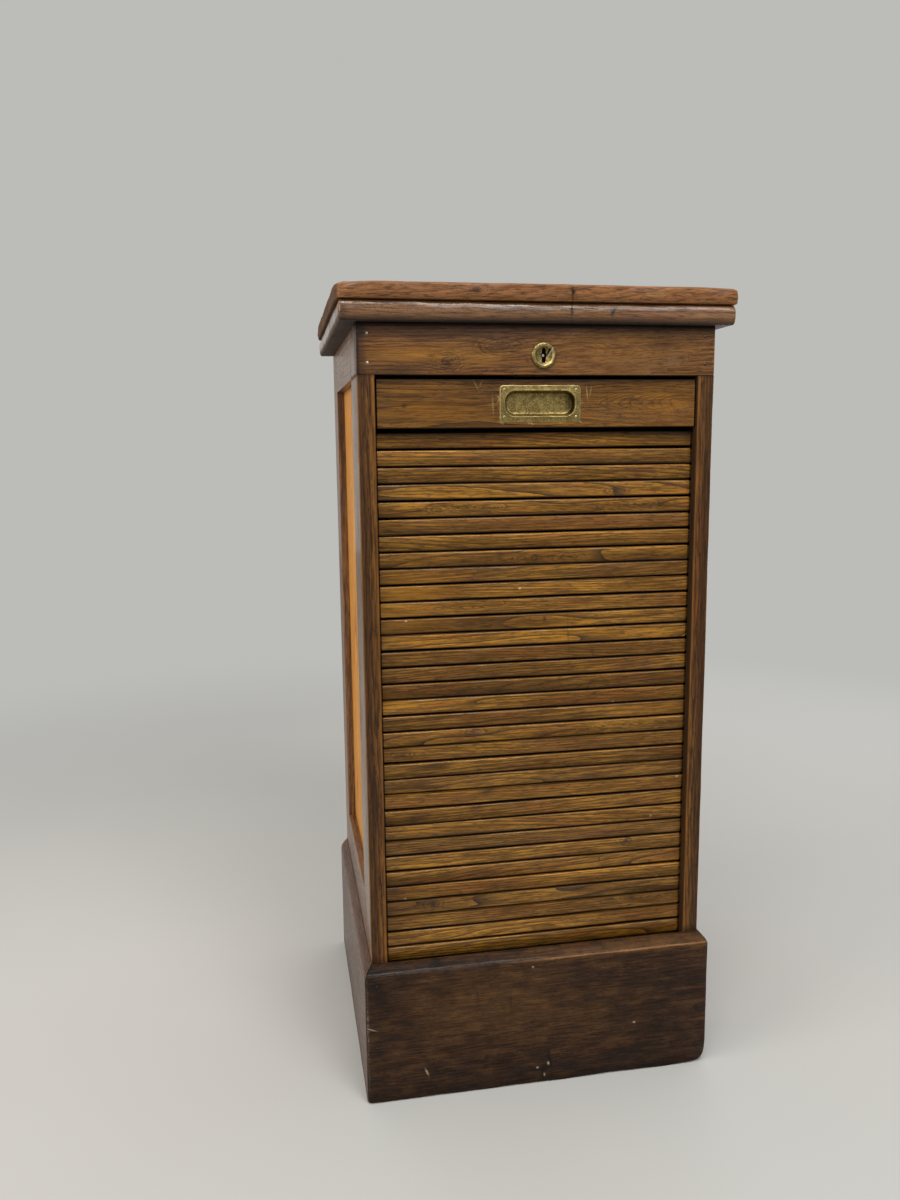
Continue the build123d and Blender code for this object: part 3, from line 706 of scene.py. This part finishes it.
def brass():
    """Old brass: olive and dull where it is never touched, bright along its rims, partly from rubbing and
    partly as painted highlight, pitted and specked all over, with a slipped tool's gouge across the
    escutcheon, its dark side painted shade and its bright side a painted glint, and darkened by grime and
    painted shade."""
    finish = Finish("brass_finish", Metallic=1.0, Specular_IOR_Level=0.5)
    edge, grime = finish.attribute("edge"), finish.attribute("grime")
    stain = finish.noise(finish.point, 110, 4.0, 0.65)
    pits = finish.noise(finish.point, 620, 3.0, 0.65)
    rim = finish.span(edge + 1.2 * (stain - 0.5), 1.3, 0.1)
    colour = finish.mix(finish.span(stain, 0.35, 0.65), paint(148, 128, 78), paint(110, 94, 54))
    colour = finish.mix(finish.span(pits, 0.52, 0.64) * 0.7, colour, paint(62, 48, 25))
    colour = finish.mix(finish.span(pits, 0.44, 0.34) * 0.5, colour, paint(206, 188, 132))
    # Rims rubbed bright, partly as painted highlight
    colour = finish.mix(rim * 0.5, colour, paint(208, 192, 142))
    # The gouge's bright side: a painted glint
    colour = finish.mix(finish.spots((9.6, 856.2, 4.6, 0.7, 1.02, 0.9)), colour, paint(226, 216, 190))
    # The gouge's dark side: painted shade, with grime and painted shade from the mesh
    colour = finish.mix(finish.spots((8.0, 856.6, 5.8, 1.15, 1.08, 1.0)) + grime, colour, paint(30, 23, 12))
    shine = 0.36 + 0.25 * finish.span(stain, 0.35, 0.7) + 0.2 * (pits - 0.5)
    return finish.feed(colour, shine, pits * 0.7 + stain * 0.3, brass_relief)


def steel(name, bare, rusty):
    """Bare steel: grey, a little rusty and scratched, and brown with dirt where it is grimed."""
    finish = Finish(name, Metallic=1.0, Specular_IOR_Level=0.5)
    rust = finish.noise(finish.point, 160, 3.0, 0.65)
    scratch = finish.noise(finish.point, (300, 1500, 900))
    colour = finish.mix(finish.span(rust, 0.5, 0.75), bare, rusty)
    colour = finish.mix(finish.attribute("grime"), colour, paint(30, 20, 13))
    shine = 0.3 + 0.4 * finish.span(rust, 0.45, 0.8) + 0.1 * (scratch - 0.5)
    return finish.feed(colour, shine, rust * 0.5 + scratch * 0.5, steel_relief)


def canvas():
    """Plain-woven canvas, stained brown: threads over and under each other on the grain coordinates. The side
    against the slats is painted black, as the shade seen through the gaps between them."""
    finish = Finish("canvas_finish", Specular_IOR_Level=0.2)
    grain = finish.attribute("grain", "Vector")
    along, across, _ = finish.split(grain)
    turns = tau / thread_pitch
    weave = finish.math("SINE", along * turns) * finish.math("SINE", across * turns)
    stain = finish.noise(grain, 20, 3.0, 0.6)
    colour = finish.mix(finish.span(stain, 0.3, 0.7), paint(120, 98, 68), paint(80, 62, 42))
    colour = finish.mix(finish.span(weave, -0.2, -0.9) * 0.5, colour, paint(52, 40, 28))
    colour = finish.mix(finish.attribute("grime"), colour, paint(8, 6, 4))
    return finish.feed(colour, 0.85 + 0.1 * stain, weave, weave_relief)


# Each wood's dark, plain and golden paint
case_paints = paint(50, 29, 16), paint(106, 70, 33), paint(134, 89, 34)
# The sides' paints are a lighter, warmer copy of the case's: painted reflection of warm glare
lit_side_paints = paint(60, 38, 24), paint(126, 88, 53), paint(148, 104, 57)
top_paints = paint(66, 39, 21), paint(128, 85, 49), paint(146, 97, 49)
moulding_paints = paint(60, 35, 18), paint(112, 74, 34), paint(134, 86, 34)
lead_paints = paint(46, 27, 10), paint(103, 68, 21), paint(128, 84, 14)
slat_paints = paint(46, 26, 8), paint(124, 83, 26), paint(164, 114, 27)
plinth_paints = paint(28, 18, 12), paint(60, 40, 26), paint(80, 51, 27)
# The plinth's sides use a lighter, warmer copy of its paints: painted warm light from the left
lit_plinth_side_paints = paint(42, 26, 16), paint(92, 58, 36), paint(110, 70, 38)
panel_paints = paint(176, 104, 34), paint(222, 154, 62), paint(236, 174, 82)
inner_paints = paint(92, 58, 30), paint(150, 108, 64), paint(168, 122, 68)

lit_side_wood = wood("lit_side_finish", *lit_side_paints, ring=6 * mm, fibred=0.4, gloss=0.45, rough=0.32, polish=0.2)
stile_wood = wood("stile_finish", *case_paints, polish=0.65, marks=stile_marks)
top_wood = wood(
    "top_board_finish", *top_paints, ringed=0.4, streaked=0.2, fibred=0.4, rough=0.48, polish=0.25,
    marks=top_board_marks,
)
moulding_wood = wood(
    "moulding_finish", *moulding_paints, ringed=0.35, streaked=0.2, fibred=0.35, gloss=0.5, rough=0.3,
    polish=1.0, marks=moulding_marks,
)
lock_wood = wood(
    "lock_rail_finish", *case_paints, golden=0.45, ringed=0.6, fibred=0.36, marks=lock_rail_marks,
)
lead_wood = wood(
    "lead_rail_finish", *lead_paints, ringed=0.85, fibred=0.36, ruddied=0.25, marks=lead_rail_marks,
)
slat_wood = wood(
    "slat_finish", *slat_paints, golden=0.8, ring=3 * mm, fibred=0.7, polish=0.5, marks=slat_marks,
)
plinth_wood = wood(
    "plinth_finish", *plinth_paints, golden=0.4, ringed=0.4, streaked=0.15, gloss=0.1, polish=0.1,
    rubbing=0.3, marks=plinth_marks,
)
lit_plinth_side_wood = wood(
    "lit_plinth_side_finish", *lit_plinth_side_paints, golden=0.4, ringed=0.7, fibred=0.4, gloss=0.3, polish=0.2,
    rubbing=0.3, ruddied=0.3,
)
panel_wood = wood(
    "panel_finish", *panel_paints, ring=8 * mm, streaked=0.2, fibred=0.3, pored=0.15, rough=0.5, polish=0.15,
    ruddied=0.15,
)
inner_wood = wood(
    "inner_finish", *inner_paints, ring=7 * mm, streaked=0.2, fibred=0.4, pored=0.3, rough=0.55, polish=0.05,
    ruddied=0.25,
)
brass_finish, canvas_finish = brass(), canvas()
steel_finish = steel("steel_finish", paint(176, 170, 160), paint(112, 82, 60))
lock_steel = steel("lock_steel_finish", paint(84, 78, 70), paint(66, 46, 34))


# Top and lock rail

def top_boards():
    """The top board and the moulding board under it, both split at the front by one old crack."""
    crack = about(split_place, split_width / 2)
    low, high = box("top_board")
    split = cut(1, -1, low[1] + split_depth, x=crack, z=(-inf, high[2] - top_arris[1, 2]))
    worn = (low[0], low[1], worn_left), (low[0], high[1], worn_left), (high[0], low[1], worn_right)
    corners = [((x, y, high[2]), worn_corner_reach, extra) for x, y, extra in worn]
    part = stock(low, high, 0, top_arris, [split], seed=11, worn=0.35, soft=corners)
    # Painted shade along the top board's lower edge, over the joint with the moulding
    darkened(part, 0.6, (2, low[2], 1.5 * mm))
    darkened(part, 0.45, (0, low[0], 3 * mm), (0, high[0], 3 * mm))
    piece("top_board_worn", "top_board", "case_wood", top_wood, part)
    low, high = box("moulding_board")
    split = cut(1, -1, low[1] + split_depth, x=crack, z=(low[2] + moulding_arris[0, 2], inf))
    part = stock(low, high, 0, moulding_arris, [split], seed=12, worn=0.2)
    # Painted shade on the nose's lower part and underside, and a thin line of painted shade along its top
    # joint
    darkened(part, 0.8, (2, low[2], 5.5 * mm), (2, high[2], 0.6 * mm))
    piece("moulding_worn", "moulding_board", "case_wood", moulding_wood, part)


def lock_rail():
    """The rail with the lock: a key's hole behind the escutcheon and a pocket for the case at its back."""
    low, high = box("lock_rail")
    eye_low, eye_high = box("escutcheon")
    case_low, case_high = box("lock_case")
    key = (eye_low + eye_high) / 2
    half_x, half_z = key_hole_half
    hole = cut(1, -1, case_low[1] - 2 * joint_room, x=about(key[0], half_x), z=about(key[2], half_z))
    pocket = cut(
        1, 1, case_low[1] - joint_room,
        x=(case_low[0] - joint_room, case_high[0] + joint_room), z=(-inf, case_high[2] + joint_room),
    )
    part = stock(low, high, 0, rail_arris, [hole, pocket], seed=21)
    # Painted shade along the bottom edge over the gap, and painted shadow of the moulding along the top
    darkened(part, 0.7, (2, low[2], 0.8 * mm))
    darkened(part, 1.0, (2, high[2], 4.5 * mm))
    piece("lock_rail_worn", "lock_rail", "case_wood", lock_wood, part)


# Side frames

def side_frame(hand, name):
    """A side's stiles with the shutter's groove and the panel's, the rails between, and the loose panel."""
    notch_low, notch_high = box("lock_rail")
    slat_low, slat_high = box("upper_slats")
    back_low, _ = box("back_panel")
    plinth_top = box("plinth_front")[1][2]
    stile_low, stile_high = box(f"{name}_front_stile")
    rear_low, rear_high = box(f"{name}_back_stile")
    panel_low, panel_high = box(f"{name}_side_panel")
    inner = hand * min(abs(stile_low[0]), abs(stile_high[0]))
    slot_low, slot_high = panel_low - joint_room, panel_high + joint_room
    slot_x, slot_z = (slot_low[0], slot_high[0]), (slot_low[2], slot_high[2])
    seed = 35 + 5 * hand

    def groove(y):
        floor = inner + hand * groove_depth
        return cut(0, -hand, floor, y=about(y, track_half), z=(groove_foot, notch_low[2]))

    def add(part, node, finish=lit_side_wood):
        # Painted shade on the inner face beside the shutter, and a band of painted shadow along the plinth's
        # top
        darkened(part, 0.8, (0, inner, 1 * mm))
        darkened(part, 0.6, (2, plinth_top, 8 * mm))
        piece(f"{node}_worn", node, "case_wood", finish, part)

    notch = cut(1, -1, notch_high[1], z=(notch_low[2], inf))
    front_groove = groove((slat_low[1] + slat_high[1]) / 2)
    cuts = [front_groove, cut(1, 1, slot_low[1], x=slot_x, z=slot_z), notch]
    part = stock(stile_low, stile_high, 2, stile_arris, cuts, seed, stile_tone)
    # Painted shadow of the lock rail across the stile's top
    darkened(part, 0.6, (2, notch_low[2], 2 * mm))
    add(part, f"{name}_front_stile", stile_wood)
    rebate = cut(1, 1, back_low[1], x=sorted((0, hand * back_rebate_half)), z=(back_low[2], inf))
    cuts = [groove(track_back_y), cut(1, -1, slot_high[1], x=slot_x, z=slot_z), rebate]
    add(stock(rear_low, rear_high, 2, frame_arris, cuts, seed + 1), f"{name}_back_stile")
    for number, (rail, side, floor) in enumerate((("top", -1, slot_high[2]), ("bottom", 1, slot_low[2]))):
        low, high = box(f"{name}_side_{rail}_rail")
        low[1], high[1] = stile_high[1], rear_low[1]
        part = stock(low, high, 1, frame_arris, [cut(2, side, floor, x=slot_x)], seed + 2 + number)
        add(part, f"{name}_side_{rail}_rail")
    part = stock(panel_low, panel_high, 2, panel_arris, seed=seed + 4)
    # Painted shade along the panel's edges next to the stiles and in the rails' slots
    darkened(part, 0.35, (1, stile_high[1], 9 * mm), (1, rear_low[1], 5 * mm))
    darkened(part, 0.35, *((2, place, 14 * mm) for place in slot_z))
    piece(f"{name}_side_panel_worn", f"{name}_side_panel", "panel_wood", panel_wood, part)


# Plinth

def plinth_shape(points, inner, outer, back, height):
    """Rounds the whole plinth's outer arrises, more at its worn lower right corner, then lowers the top
    towards the outside down to the bevel."""
    low, high = np.array([-outer[0], -outer[1], 0]), np.array([outer[0], 2 * back, height])
    corner = (points[:, 0] - outer[0]) ** 2 + (points[:, 1] + outer[1]) ** 2 + points[:, 2] ** 2
    radius = plinth_arris * (1 + 0.35 * wander(61, 60 * mm)(points))
    radius += plinth_worn_corner * np.exp(-corner / plinth_worn_reach**2)
    shaped = rounded(points, low, high, radius[:, None])
    out_x = (np.abs(shaped[:, 0]) - inner[0]) / (outer[0] - inner[0])
    out_y = (-shaped[:, 1] - inner[1]) / (outer[1] - inner[1])
    start = plinth_bevel_start_share
    slope = np.clip(np.maximum(out_x, out_y) - start, 0, 1) / (1 - start)
    shaped[:, 2] *= 1 - plinth_bevel_drop / height * slope
    return shaped


def plinth():
    """Three mitred boards round the foot. Each is a block of (share of its run, share of its thickness,
    height): the run's ends lie on the mitres, and on the plain ends at the back."""
    front_low, front_high = box("plinth_front")
    side_low, side_high = box("right_plinth_side")
    inner = np.array([side_low[0], -front_high[1]])
    outer = np.array([side_high[0], -front_low[1]])
    thick, back, height = outer - inner, side_high[1], front_high[2]
    shares = np.unique([0, plinth_bevel_start_share, *np.linspace(0.3, 1, 6)])
    heights = places(0, height, plinth_arris, grid_step)
    hands = {"plinth_front": 0, "left_plinth_side": -1, "right_plinth_side": 1}
    for number, (name, hand) in enumerate(hands.items()):
        length = back + outer[1] if hand else 2 * outer[0]
        runs = places(0, length, plinth_arris, grid_step) / length
        points, quads = block_surface([runs, shares, heights])
        run, share, z = points.T
        nose = -inner[1] - thick[1] * share
        if hand:
            flat = hand * (inner[0] + thick[0] * share), nose + (back - nose) * run, z
        else:
            flat = (inner[0] + thick[0] * share) * (2 * run - 1), nose, z
        rim = np.abs(height - z) + (1 - share) * thick[1]
        log = np.stack([run * length, z, share * thick[1]], -1)
        far = np.array([length, height, thick[1]])
        part = {
            "points": plinth_shape(np.stack(flat, -1), inner, outer, back, height),
            "quads": quads,
            "grain": log_place(log, np.zeros(3), far, 0, 62 + number),
            "tone": np.zeros(len(points)),
            "edge": np.minimum(rim, edge_reach) / mm,
            "grime": np.where((run == 0) | (run == 1), 0.9, 0.0),
        }
        darkened(part, 0.5, (2, 0, 12 * mm))
        finish = lit_plinth_side_wood if hand else plinth_wood
        piece(f"{name}_worn", name, "plinth_wood", finish, part)


# Back and inside

def plain_boards():
    """The back, the inside and its battens, plain with soft arrises; the backs are boards side by side."""
    boarded = ("back_panel", "inner_back")
    names = ["back_panel", "back_top_rail", "back_bottom_rail", "inner_back", "floor_board"]
    names += [f"shelf_{number}" for number in range(1, 5)]
    for number, name in enumerate(names):
        low, high = box(name)
        parts = []
        if name in boarded:
            edges = np.linspace(low[0], high[0], back_boards + 1)
            for turn, (left, right) in enumerate(zip(edges, edges[1:])):
                near, far = [left, *low[1:]], [right, *high[1:]]
                seed, tone = 70 + 20 * number + turn, 0.5 * (-1) ** turn
                parts.append(stock(near, far, 2, inner_arris, seed=seed, tone=tone))
        else:
            parts.append(stock(low, high, 0, inner_arris, seed=70 + number))
        piece(f"{name}_worn", name, "inner_wood", inner_wood, *parts)
    levels = {"floor_cleats": 1, "top_cleats": 1, "shelf_battens": 4}
    for number, (name, count) in enumerate(levels.items()):
        low, high = box(name)
        parts = []
        for level in range(count):
            base = box(f"shelf_{level + 1}")[0][2] - batten_height if count > 1 else low[2]
            for x in (low[0], high[0] - batten_thick):
                near, far = [x, low[1], base], [x + batten_thick, high[1], base + batten_height]
                parts.append(stock(near, far, 1, inner_arris, seed=90 + 10 * number + len(parts)))
        piece(f"{name}_worn", name, "inner_wood", inner_wood, *parts)


# Shutter

def tongue_section(low, high):
    """The lowest and highest Y and Z of the tongue that a slat or rail shrinks to past its shoulders."""
    track_low, track_high = box("upper_slats")
    foot = np.array([track_low[1] + tongue_front, low[2] + tongue_inset])
    return foot, np.array([track_high[1] - tongue_back, high[2] - tongue_inset])


def shutter():
    """Slats, each a little out of true, under the lead rail; the canvas that joins them at the back."""
    upper_low, upper_high = box("upper_slats")
    lower_low, lower_high = box("lower_slats")
    gap = upper_low[2] - lower_high[2]
    pitch = (upper_high[2] - lower_low[2] + gap) / slat_count
    draw = np.random.default_rng(100)
    made = {"upper_slats": [], "lower_slats": []}
    for number in range(slat_count):
        low = np.array([*lower_low[:2], lower_low[2] + number * pitch])
        high = np.array([*lower_high[:2], low[2] + pitch - gap])
        lift, tilt, lean, roll = draw.normal(0, slat_play, 4).clip(-2 * slat_play, 2 * slat_play)
        crook, tone = wander(101 + number, 260 * mm), draw.normal(0, slat_tones)

        def bend(points):
            """Lifts, tilts and crooks the slat in its own plane, and leans and rolls it out of that."""
            along = points[:, 0] / upper_high[0]
            above = (points[:, 2] - low[2]) / pitch - 0.5
            shifted = points.copy()
            shifted[:, 2] += lift + tilt * along + 0.8 * slat_play * crook(points * [1, 0, 0])
            shifted[:, 1] += lean * along + 2 * roll * above
            return shifted

        part = stock(
            low, high, 0, slat_arris, seed=140 + number, tone=tone, bend=bend, step=slat_step,
            tongue=tongue_section(low, high),
        )
        # Painted shade along each slat's lower and upper edges over the gaps; on the top slat, a deeper band
        # of painted shadow under the lead rail
        shade = slat_top_shade if number == slat_count - 1 else slat_arris / 3
        darkened(part, 0.95, (2, low[2], 2 * mm), (2, high[2], shade))
        made["upper_slats" if low[2] > lower_high[2] else "lower_slats"].append(part)
    for node, parts in made.items():
        slats = piece(f"{node}_worn", node, "slat_wood", slat_wood, *parts, body="shutter")
    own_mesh(slats)

    low, high = box("canvas_backing")
    size = high - low
    part = stock(low, high, 2, canvas_arris, seed=180, worn=0.0)
    # The front half of the canvas is painted black: painted shade seen through the gaps between the slats
    darkened(part, 1.0, (1, low[1], size[1] / 2))
    cloth = piece("canvas_backing_woven", "canvas_backing", "canvas", canvas_finish, part, body="shutter")
    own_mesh(cloth)


def lead_rail():
    """The shutter's top rail: seats for the flush pull and the strike plate, a slot that the lock's hook
    swings into, and a tongue at each end."""
    low, high = box("lead_rail")
    pull_low, pull_high = box("flush_pull")
    strike_low, strike_high = box("strike_plate")
    middle = (pull_low + pull_high) / 2
    half_x, half_z = pull_seat_half
    seat = cut(1, -1, low[1] + pull_seat_depth, x=about(middle[0], half_x), z=about(middle[2], half_z))
    strike = cut(2, 1, strike_low[2], x=(strike_low[0], strike_high[0]), y=(strike_low[1], strike_high[1]))
    pin_low, pin_high = box("hook_pin")
    hook_low, hook_high = box("lock_hook")
    pivot = (pin_low + pin_high) / 2
    reach = hook_high[0] - pivot[0] + hook_room
    sweep = cut(
        2, 1, pivot[2] - reach,
        x=(pivot[0] - hook_behind, pivot[0] + reach), y=(hook_low[1] - hook_room, hook_high[1] + hook_room),
    )
    cuts = [seat, strike, sweep]
    part = stock(low, high, 0, stile_arris, cuts, seed=190, tone=0.05, tongue=tongue_section(low, high))
    # Painted shade on the rail's lower edge over the gap, and painted shadow of the lock rail along its top
    darkened(part, 0.95, (2, low[2], 1.4 * mm), (2, high[2], 3 * mm))
    piece("lead_rail_worn", "lead_rail", "case_wood", lead_wood, part, body="shutter")


# Fittings

def ring(half_x, half_z, corner, depth, middle, steps=10):
    """A rounded rectangle's outline round a middle, as a ring of points at one depth."""
    corner = min(corner, half_x, half_z)
    angles = np.linspace(0, pi / 2, steps)
    turns = np.concatenate([angles + quarter * pi / 2 for quarter in range(4)])
    side_x = np.repeat([1, -1, -1, 1], steps) * (half_x - corner)
    side_z = np.repeat([1, 1, -1, -1], steps) * (half_z - corner)
    x = middle[0] + side_x + corner * np.cos(turns)
    z = middle[2] + side_z + corner * np.sin(turns)
    return np.stack([x, np.full_like(x, middle[1] + depth), z], -1)


def flush_pull():
    """A stamped plate: rings from the middle of the cup's back, round the plate's edge and the mouth's lip,
    down the steep wall to the middle of the cup's floor."""
    low, high = box("flush_pull")
    middle = (low + high) / 2
    middle[1] = box("lead_rail")[0][1]
    half_x, half_z = (high[0] - low[0]) / 2, (high[2] - low[2]) / 2
    # Inset from the plate's edge, corner radius, depth behind the rail's face, distance from a rim rubbed
    # bright, partly as painted highlight
    profile = [
        (19.5, 0, 8.4, 9), (11, 5, 8.4, 9), (8.0, 8, 6.5, 9), (5.2, 10.8, 0.8, 9),
        (0, 3.8, 0.8, 9), (0, 3.8, -0.4, 0.7), (0.15, 3.7, -0.66, 0.2), (0.5, 3.4, -0.8, 0.4),
        (1.2, 3, -0.8, 1.6), (4.3, 12.6, -0.8, 2), (4.7, 12.5, -0.9, 1.4), (5.1, 12.3, -1.0, 0.8),
        (5.5, 12.1, -0.95, 0.6), (5.8, 11.8, -0.7, 0.8), (6.1, 11.5, -0.1, 1.8), (6.9, 10.7, 2.6, 6),
        (7.8, 9.8, 5.4, 9), (8.5, 9.1, 6.8, 5), (9.4, 8.2, 7.35, 1.6), (10.6, 7.2, 7.5, 2.5),
        (13.5, 4.8, 7.5, 9), (16.5, 2.6, 7.5, 9), (19.5, 0, 7.5, 9),
    ]
    rings = [ring(half_x - a * mm, half_z - a * mm, c * mm, d * mm, middle) for a, c, d, _ in profile]
    part = swept(rings, [row[3] for row in profile])
    x, y, _ = part["points"].T - middle[:, None]
    part["grime"] = pull_shade * np.clip((x - pull_shade_start) / pull_shade_reach, 0, 1) * (y > joint_room)
    piece("flush_pull_stamped", "flush_pull", "brass", brass_finish, part, body="shutter")


def keyhole_reach(angle):
    """How far the keyhole reaches at an angle: a round eye, or the upright slot's side or its round end."""
    side, up = np.maximum(np.abs(np.cos(angle)), 1e-6), np.abs(np.sin(angle))
    run = keyhole_slot_reach - keyhole_slot_half
    end = run * up + np.sqrt(np.maximum(keyhole_slot_half**2 - (run * side) ** 2, 0))
    slot = np.where(keyhole_slot_half * up <= run * side, keyhole_slot_half / side, end)
    return np.maximum(keyhole_eye, slot)


def escutcheon():
    """A cast ring with a dished middle: rings run from the keyhole's outline to the rim and back behind."""
    low, high = box("escutcheon")
    middle = (low + high) / 2
    radius = (high[0] - low[0]) / 2
    angle = np.arange(escutcheon_steps) * tau / escutcheon_steps
    hole = keyhole_reach(angle)

    def loop(reach, height):
        """One turn about the middle at a reach, which may vary, and a height above the rail."""
        x, z = middle[0] + reach * np.cos(angle), middle[2] + reach * np.sin(angle)
        return np.stack([x, np.full_like(x, high[1] - height * mm), z], -1)

    # Radius as a share of the rim's, height above the rail, distance from a rim rubbed bright, partly as
    # painted highlight
    profile = [
        (0.6, 1.0, 3), (0.65, 1.35, 1.6), (0.7, 1.95, 0.6), (0.745, 2.5, 0.5), (0.8, 2.75, 0.9),
        (0.86, 2.7, 1.2), (0.92, 2.35, 1.4), (0.965, 1.75, 2), (0.99, 1.0, 2), (1.0, 0.4, 3), (1.0, 0.0, 3),
    ]
    rings = [loop(hole, 0.2), loop(hole + keyhole_lip, 0.5)]
    rings += [loop(share * radius, height) for share, height, _ in profile] + [loop(hole, 0.0)]
    part = swept(rings, [0.4, 1.5, *(row[2] for row in profile), 3], closed=True)
    darkened(part, 0.5, (1, high[1] - 1.2 * mm, 0.3 * mm))
    piece("escutcheon_cast", "escutcheon", "brass", brass_finish, part)


def turned_head(middle, radius, rise, sink, seed, grime):
    """A round head: a block whose rounding is its own half width, domed by the square of the distance from
    its middle, and as grimy all over as given."""
    low, high = np.array([-radius, -rise, -radius]), np.array([radius, sink, radius])

    def dome(points):
        out = np.hypot(points[:, 0], points[:, 2]) / radius
        lower = np.where(points[:, 1] < 0, 1 - 0.85 * out**2, 1)
        return points * np.stack([np.ones_like(out), lower, np.ones_like(out)], -1) + middle

    step, arris = radius / 3, (radius, 0, radius)
    part = stock(low, high, 0, arris, seed=seed, worn=0.0, bend=dome, step=step, fan=5)
    part["grime"][:] = grime
    return part


def fasteners():
    """Nail heads in the lock rail and the plinth, duller to the right and below, and the pull's pins."""
    rail_face, plinth_face = box("lock_rail")[0][1], box("nails")[0][1]
    # Distance from the middle, height, face, grime on the left and on the right
    rows = [
        (188.5, 844, rail_face, 0.1, 0.9), (188.5, 874, rail_face, 0.5, 0.9),
        (195.5, 77, plinth_face, 0.9, 0.95), (195.5, 148, plinth_face, 0.9, 0.95),
    ]
    parts = []
    for x, z, face, *dirt in rows:
        for hand, grime in zip((-1, 1), dirt):
            middle = np.array([hand * x * mm, face, z * mm])
            parts.append(turned_head(middle, nail_radius, nail_rise, nail_sink, 200 + len(parts), grime))
    piece("nail_heads", "nails", "steel", steel_finish, *parts)
    low, high = box("pull_screws")
    parts = []
    for x in (low[0] + screw_head_half, high[0] - screw_head_half):
        for z in (low[2] + screw_head_half, high[2] - screw_head_half):
            middle = np.array([x, low[1], z])
            parts.append(turned_head(middle, pin_radius, pin_rise, nail_sink, 220 + len(parts), pin_grime))
    piece("pull_pin_heads", "pull_screws", "brass", brass_finish, *parts, body="shutter")


def lock_parts():
    """The lock's own pieces keep their solids: old dark steel, but for the pin that the key polishes."""
    nodes = ["lock_case", "lock_cap", "lock_screws", "key_pin", "hook_pin", "lock_hook"]
    for node in [*nodes, "strike_plate", "strike_screws"]:
        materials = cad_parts[node].data.materials
        materials.clear()
        materials.append(steel_finish if node == "key_pin" else lock_steel)


# Stage

def floor():
    """A pale floor that fades, for the camera, into the background's colour away from the cabinet."""
    mesh = bpy.data.meshes.new("floor")
    corners = [(x * floor_half, y * floor_half, 0) for x, y in ((-1, -1), (1, -1), (1, 1), (-1, 1))]
    mesh.from_pydata(corners, [], [(0, 1, 2, 3)])
    finish = Finish("floor_finish", Specular_IOR_Level=0.15)
    cloud = finish.noise(finish.point, 1.5, 3.0)
    colour = finish.mix(cloud, paint(184, 184, 181), paint(194, 194, 191))
    mesh.materials.append(finish.feed(colour, 0.65 + 0.1 * cloud, cloud, floor_relief))
    faded = finish.span(finish.vector("LENGTH", finish.point, output=1), *floor_fade)
    glow = finish.node("ShaderNodeEmission", {}, {"Color": background, "Strength": 1.0})
    lit = Value(finish, finish.shader.outputs[0])
    finish.show(finish.ray("Camera") * faded, lit, glow, "Material Output")
    added("floor", mesh)


def studio():
    """The surroundings: the camera and reflections see the plain background; all else, soft light."""
    world = bpy.data.worlds.new("studio")
    world.use_nodes = True
    bpy.context.scene.world = world
    sky = Nodes(world.node_tree)
    mirrored = sky.math("MAXIMUM", sky.ray("Glossy"), sky.ray("Transmission"))
    seen = sky.math("MAXIMUM", sky.ray("Camera"), mirrored)
    soft, plain = (
        sky.node("ShaderNodeBackground", {}, {"Color": colour, "Strength": strength})
        for colour, strength in (((1.0, 0.99, 0.97, 1.0), soft_light), (background, 1.0))
    )
    sky.show(seen, soft, plain, "World Output")


def lamps():
    """Soft lamps, each a place, a width, a height, a power and a colour, aimed at the cabinet's middle."""
    aim = np.array([0, 0, 0.5])
    rows = {
        "key": ((0.9, -2.3, 2.3), 1.5, 1.5, 24, (0.97, 0.985, 1.0)),
        "above": ((-0.2, -1.3, 2.5), 1.6, 0.5, 32, (1.0, 0.98, 0.96)),
        "left": ((-2.2, -0.9, 1.5), 1.4, 1.4, 28, (1.0, 0.93, 0.83)),
        "top": ((0.0, 0.6, 2.8), 2.0, 2.0, 14, (1.0, 0.98, 0.96)),
        "right": ((2.4, 0.7, 0.5), 1.6, 0.8, 13, (1.0, 0.98, 0.95)),
        "back": ((1.5, 2.5, 0.5), 1.8, 0.8, 14, (1.0, 0.98, 0.95)),
    }
    for name, (place, width, height, power, colour) in rows.items():
        lamp = bpy.data.lights.new(name, "AREA")
        lamp.shape = "RECTANGLE"
        lamp.size, lamp.size_y, lamp.energy, lamp.color = width, height, power, colour
        added(name, lamp).matrix_world = aimed(np.array(place), aim - place)


def viewpoint():
    """The camera, where the photograph was taken."""
    lens = bpy.data.cameras.new("camera")
    lens.sensor_width = film_height
    lens.lens = focal_pixels / image_height * film_height
    camera = added("camera", lens)
    level = cos(camera_pitch)
    forward = np.array([sin(camera_yaw) * level, cos(camera_yaw) * level, sin(camera_pitch)])
    camera.matrix_world = aimed(np.array(camera_place), forward, camera_roll)
    bpy.context.scene.camera = camera


def aimed(place, forward, roll=0.0):
    """A placement whose -Z looks along forward, level but for its roll."""
    forward = forward / np.linalg.norm(forward)
    right = np.cross(forward, [0, 0, 1])
    right /= np.linalg.norm(right)
    up = np.cross(right, forward)
    across = cos(roll) * right + sin(roll) * up
    over = cos(roll) * up - sin(roll) * right
    placed = np.eye(4)
    placed[:3] = np.stack([across, over, -forward, place], -1)
    return Matrix(placed)


top_boards()
lock_rail()
side_frame(-1, "left")
side_frame(1, "right")
plinth()
plain_boards()
shutter()
lead_rail()
flush_pull()
escutcheon()
fasteners()
lock_parts()
bpy.context.scene.view_settings.view_transform = "Standard"
floor()
studio()
lamps()
viewpoint()
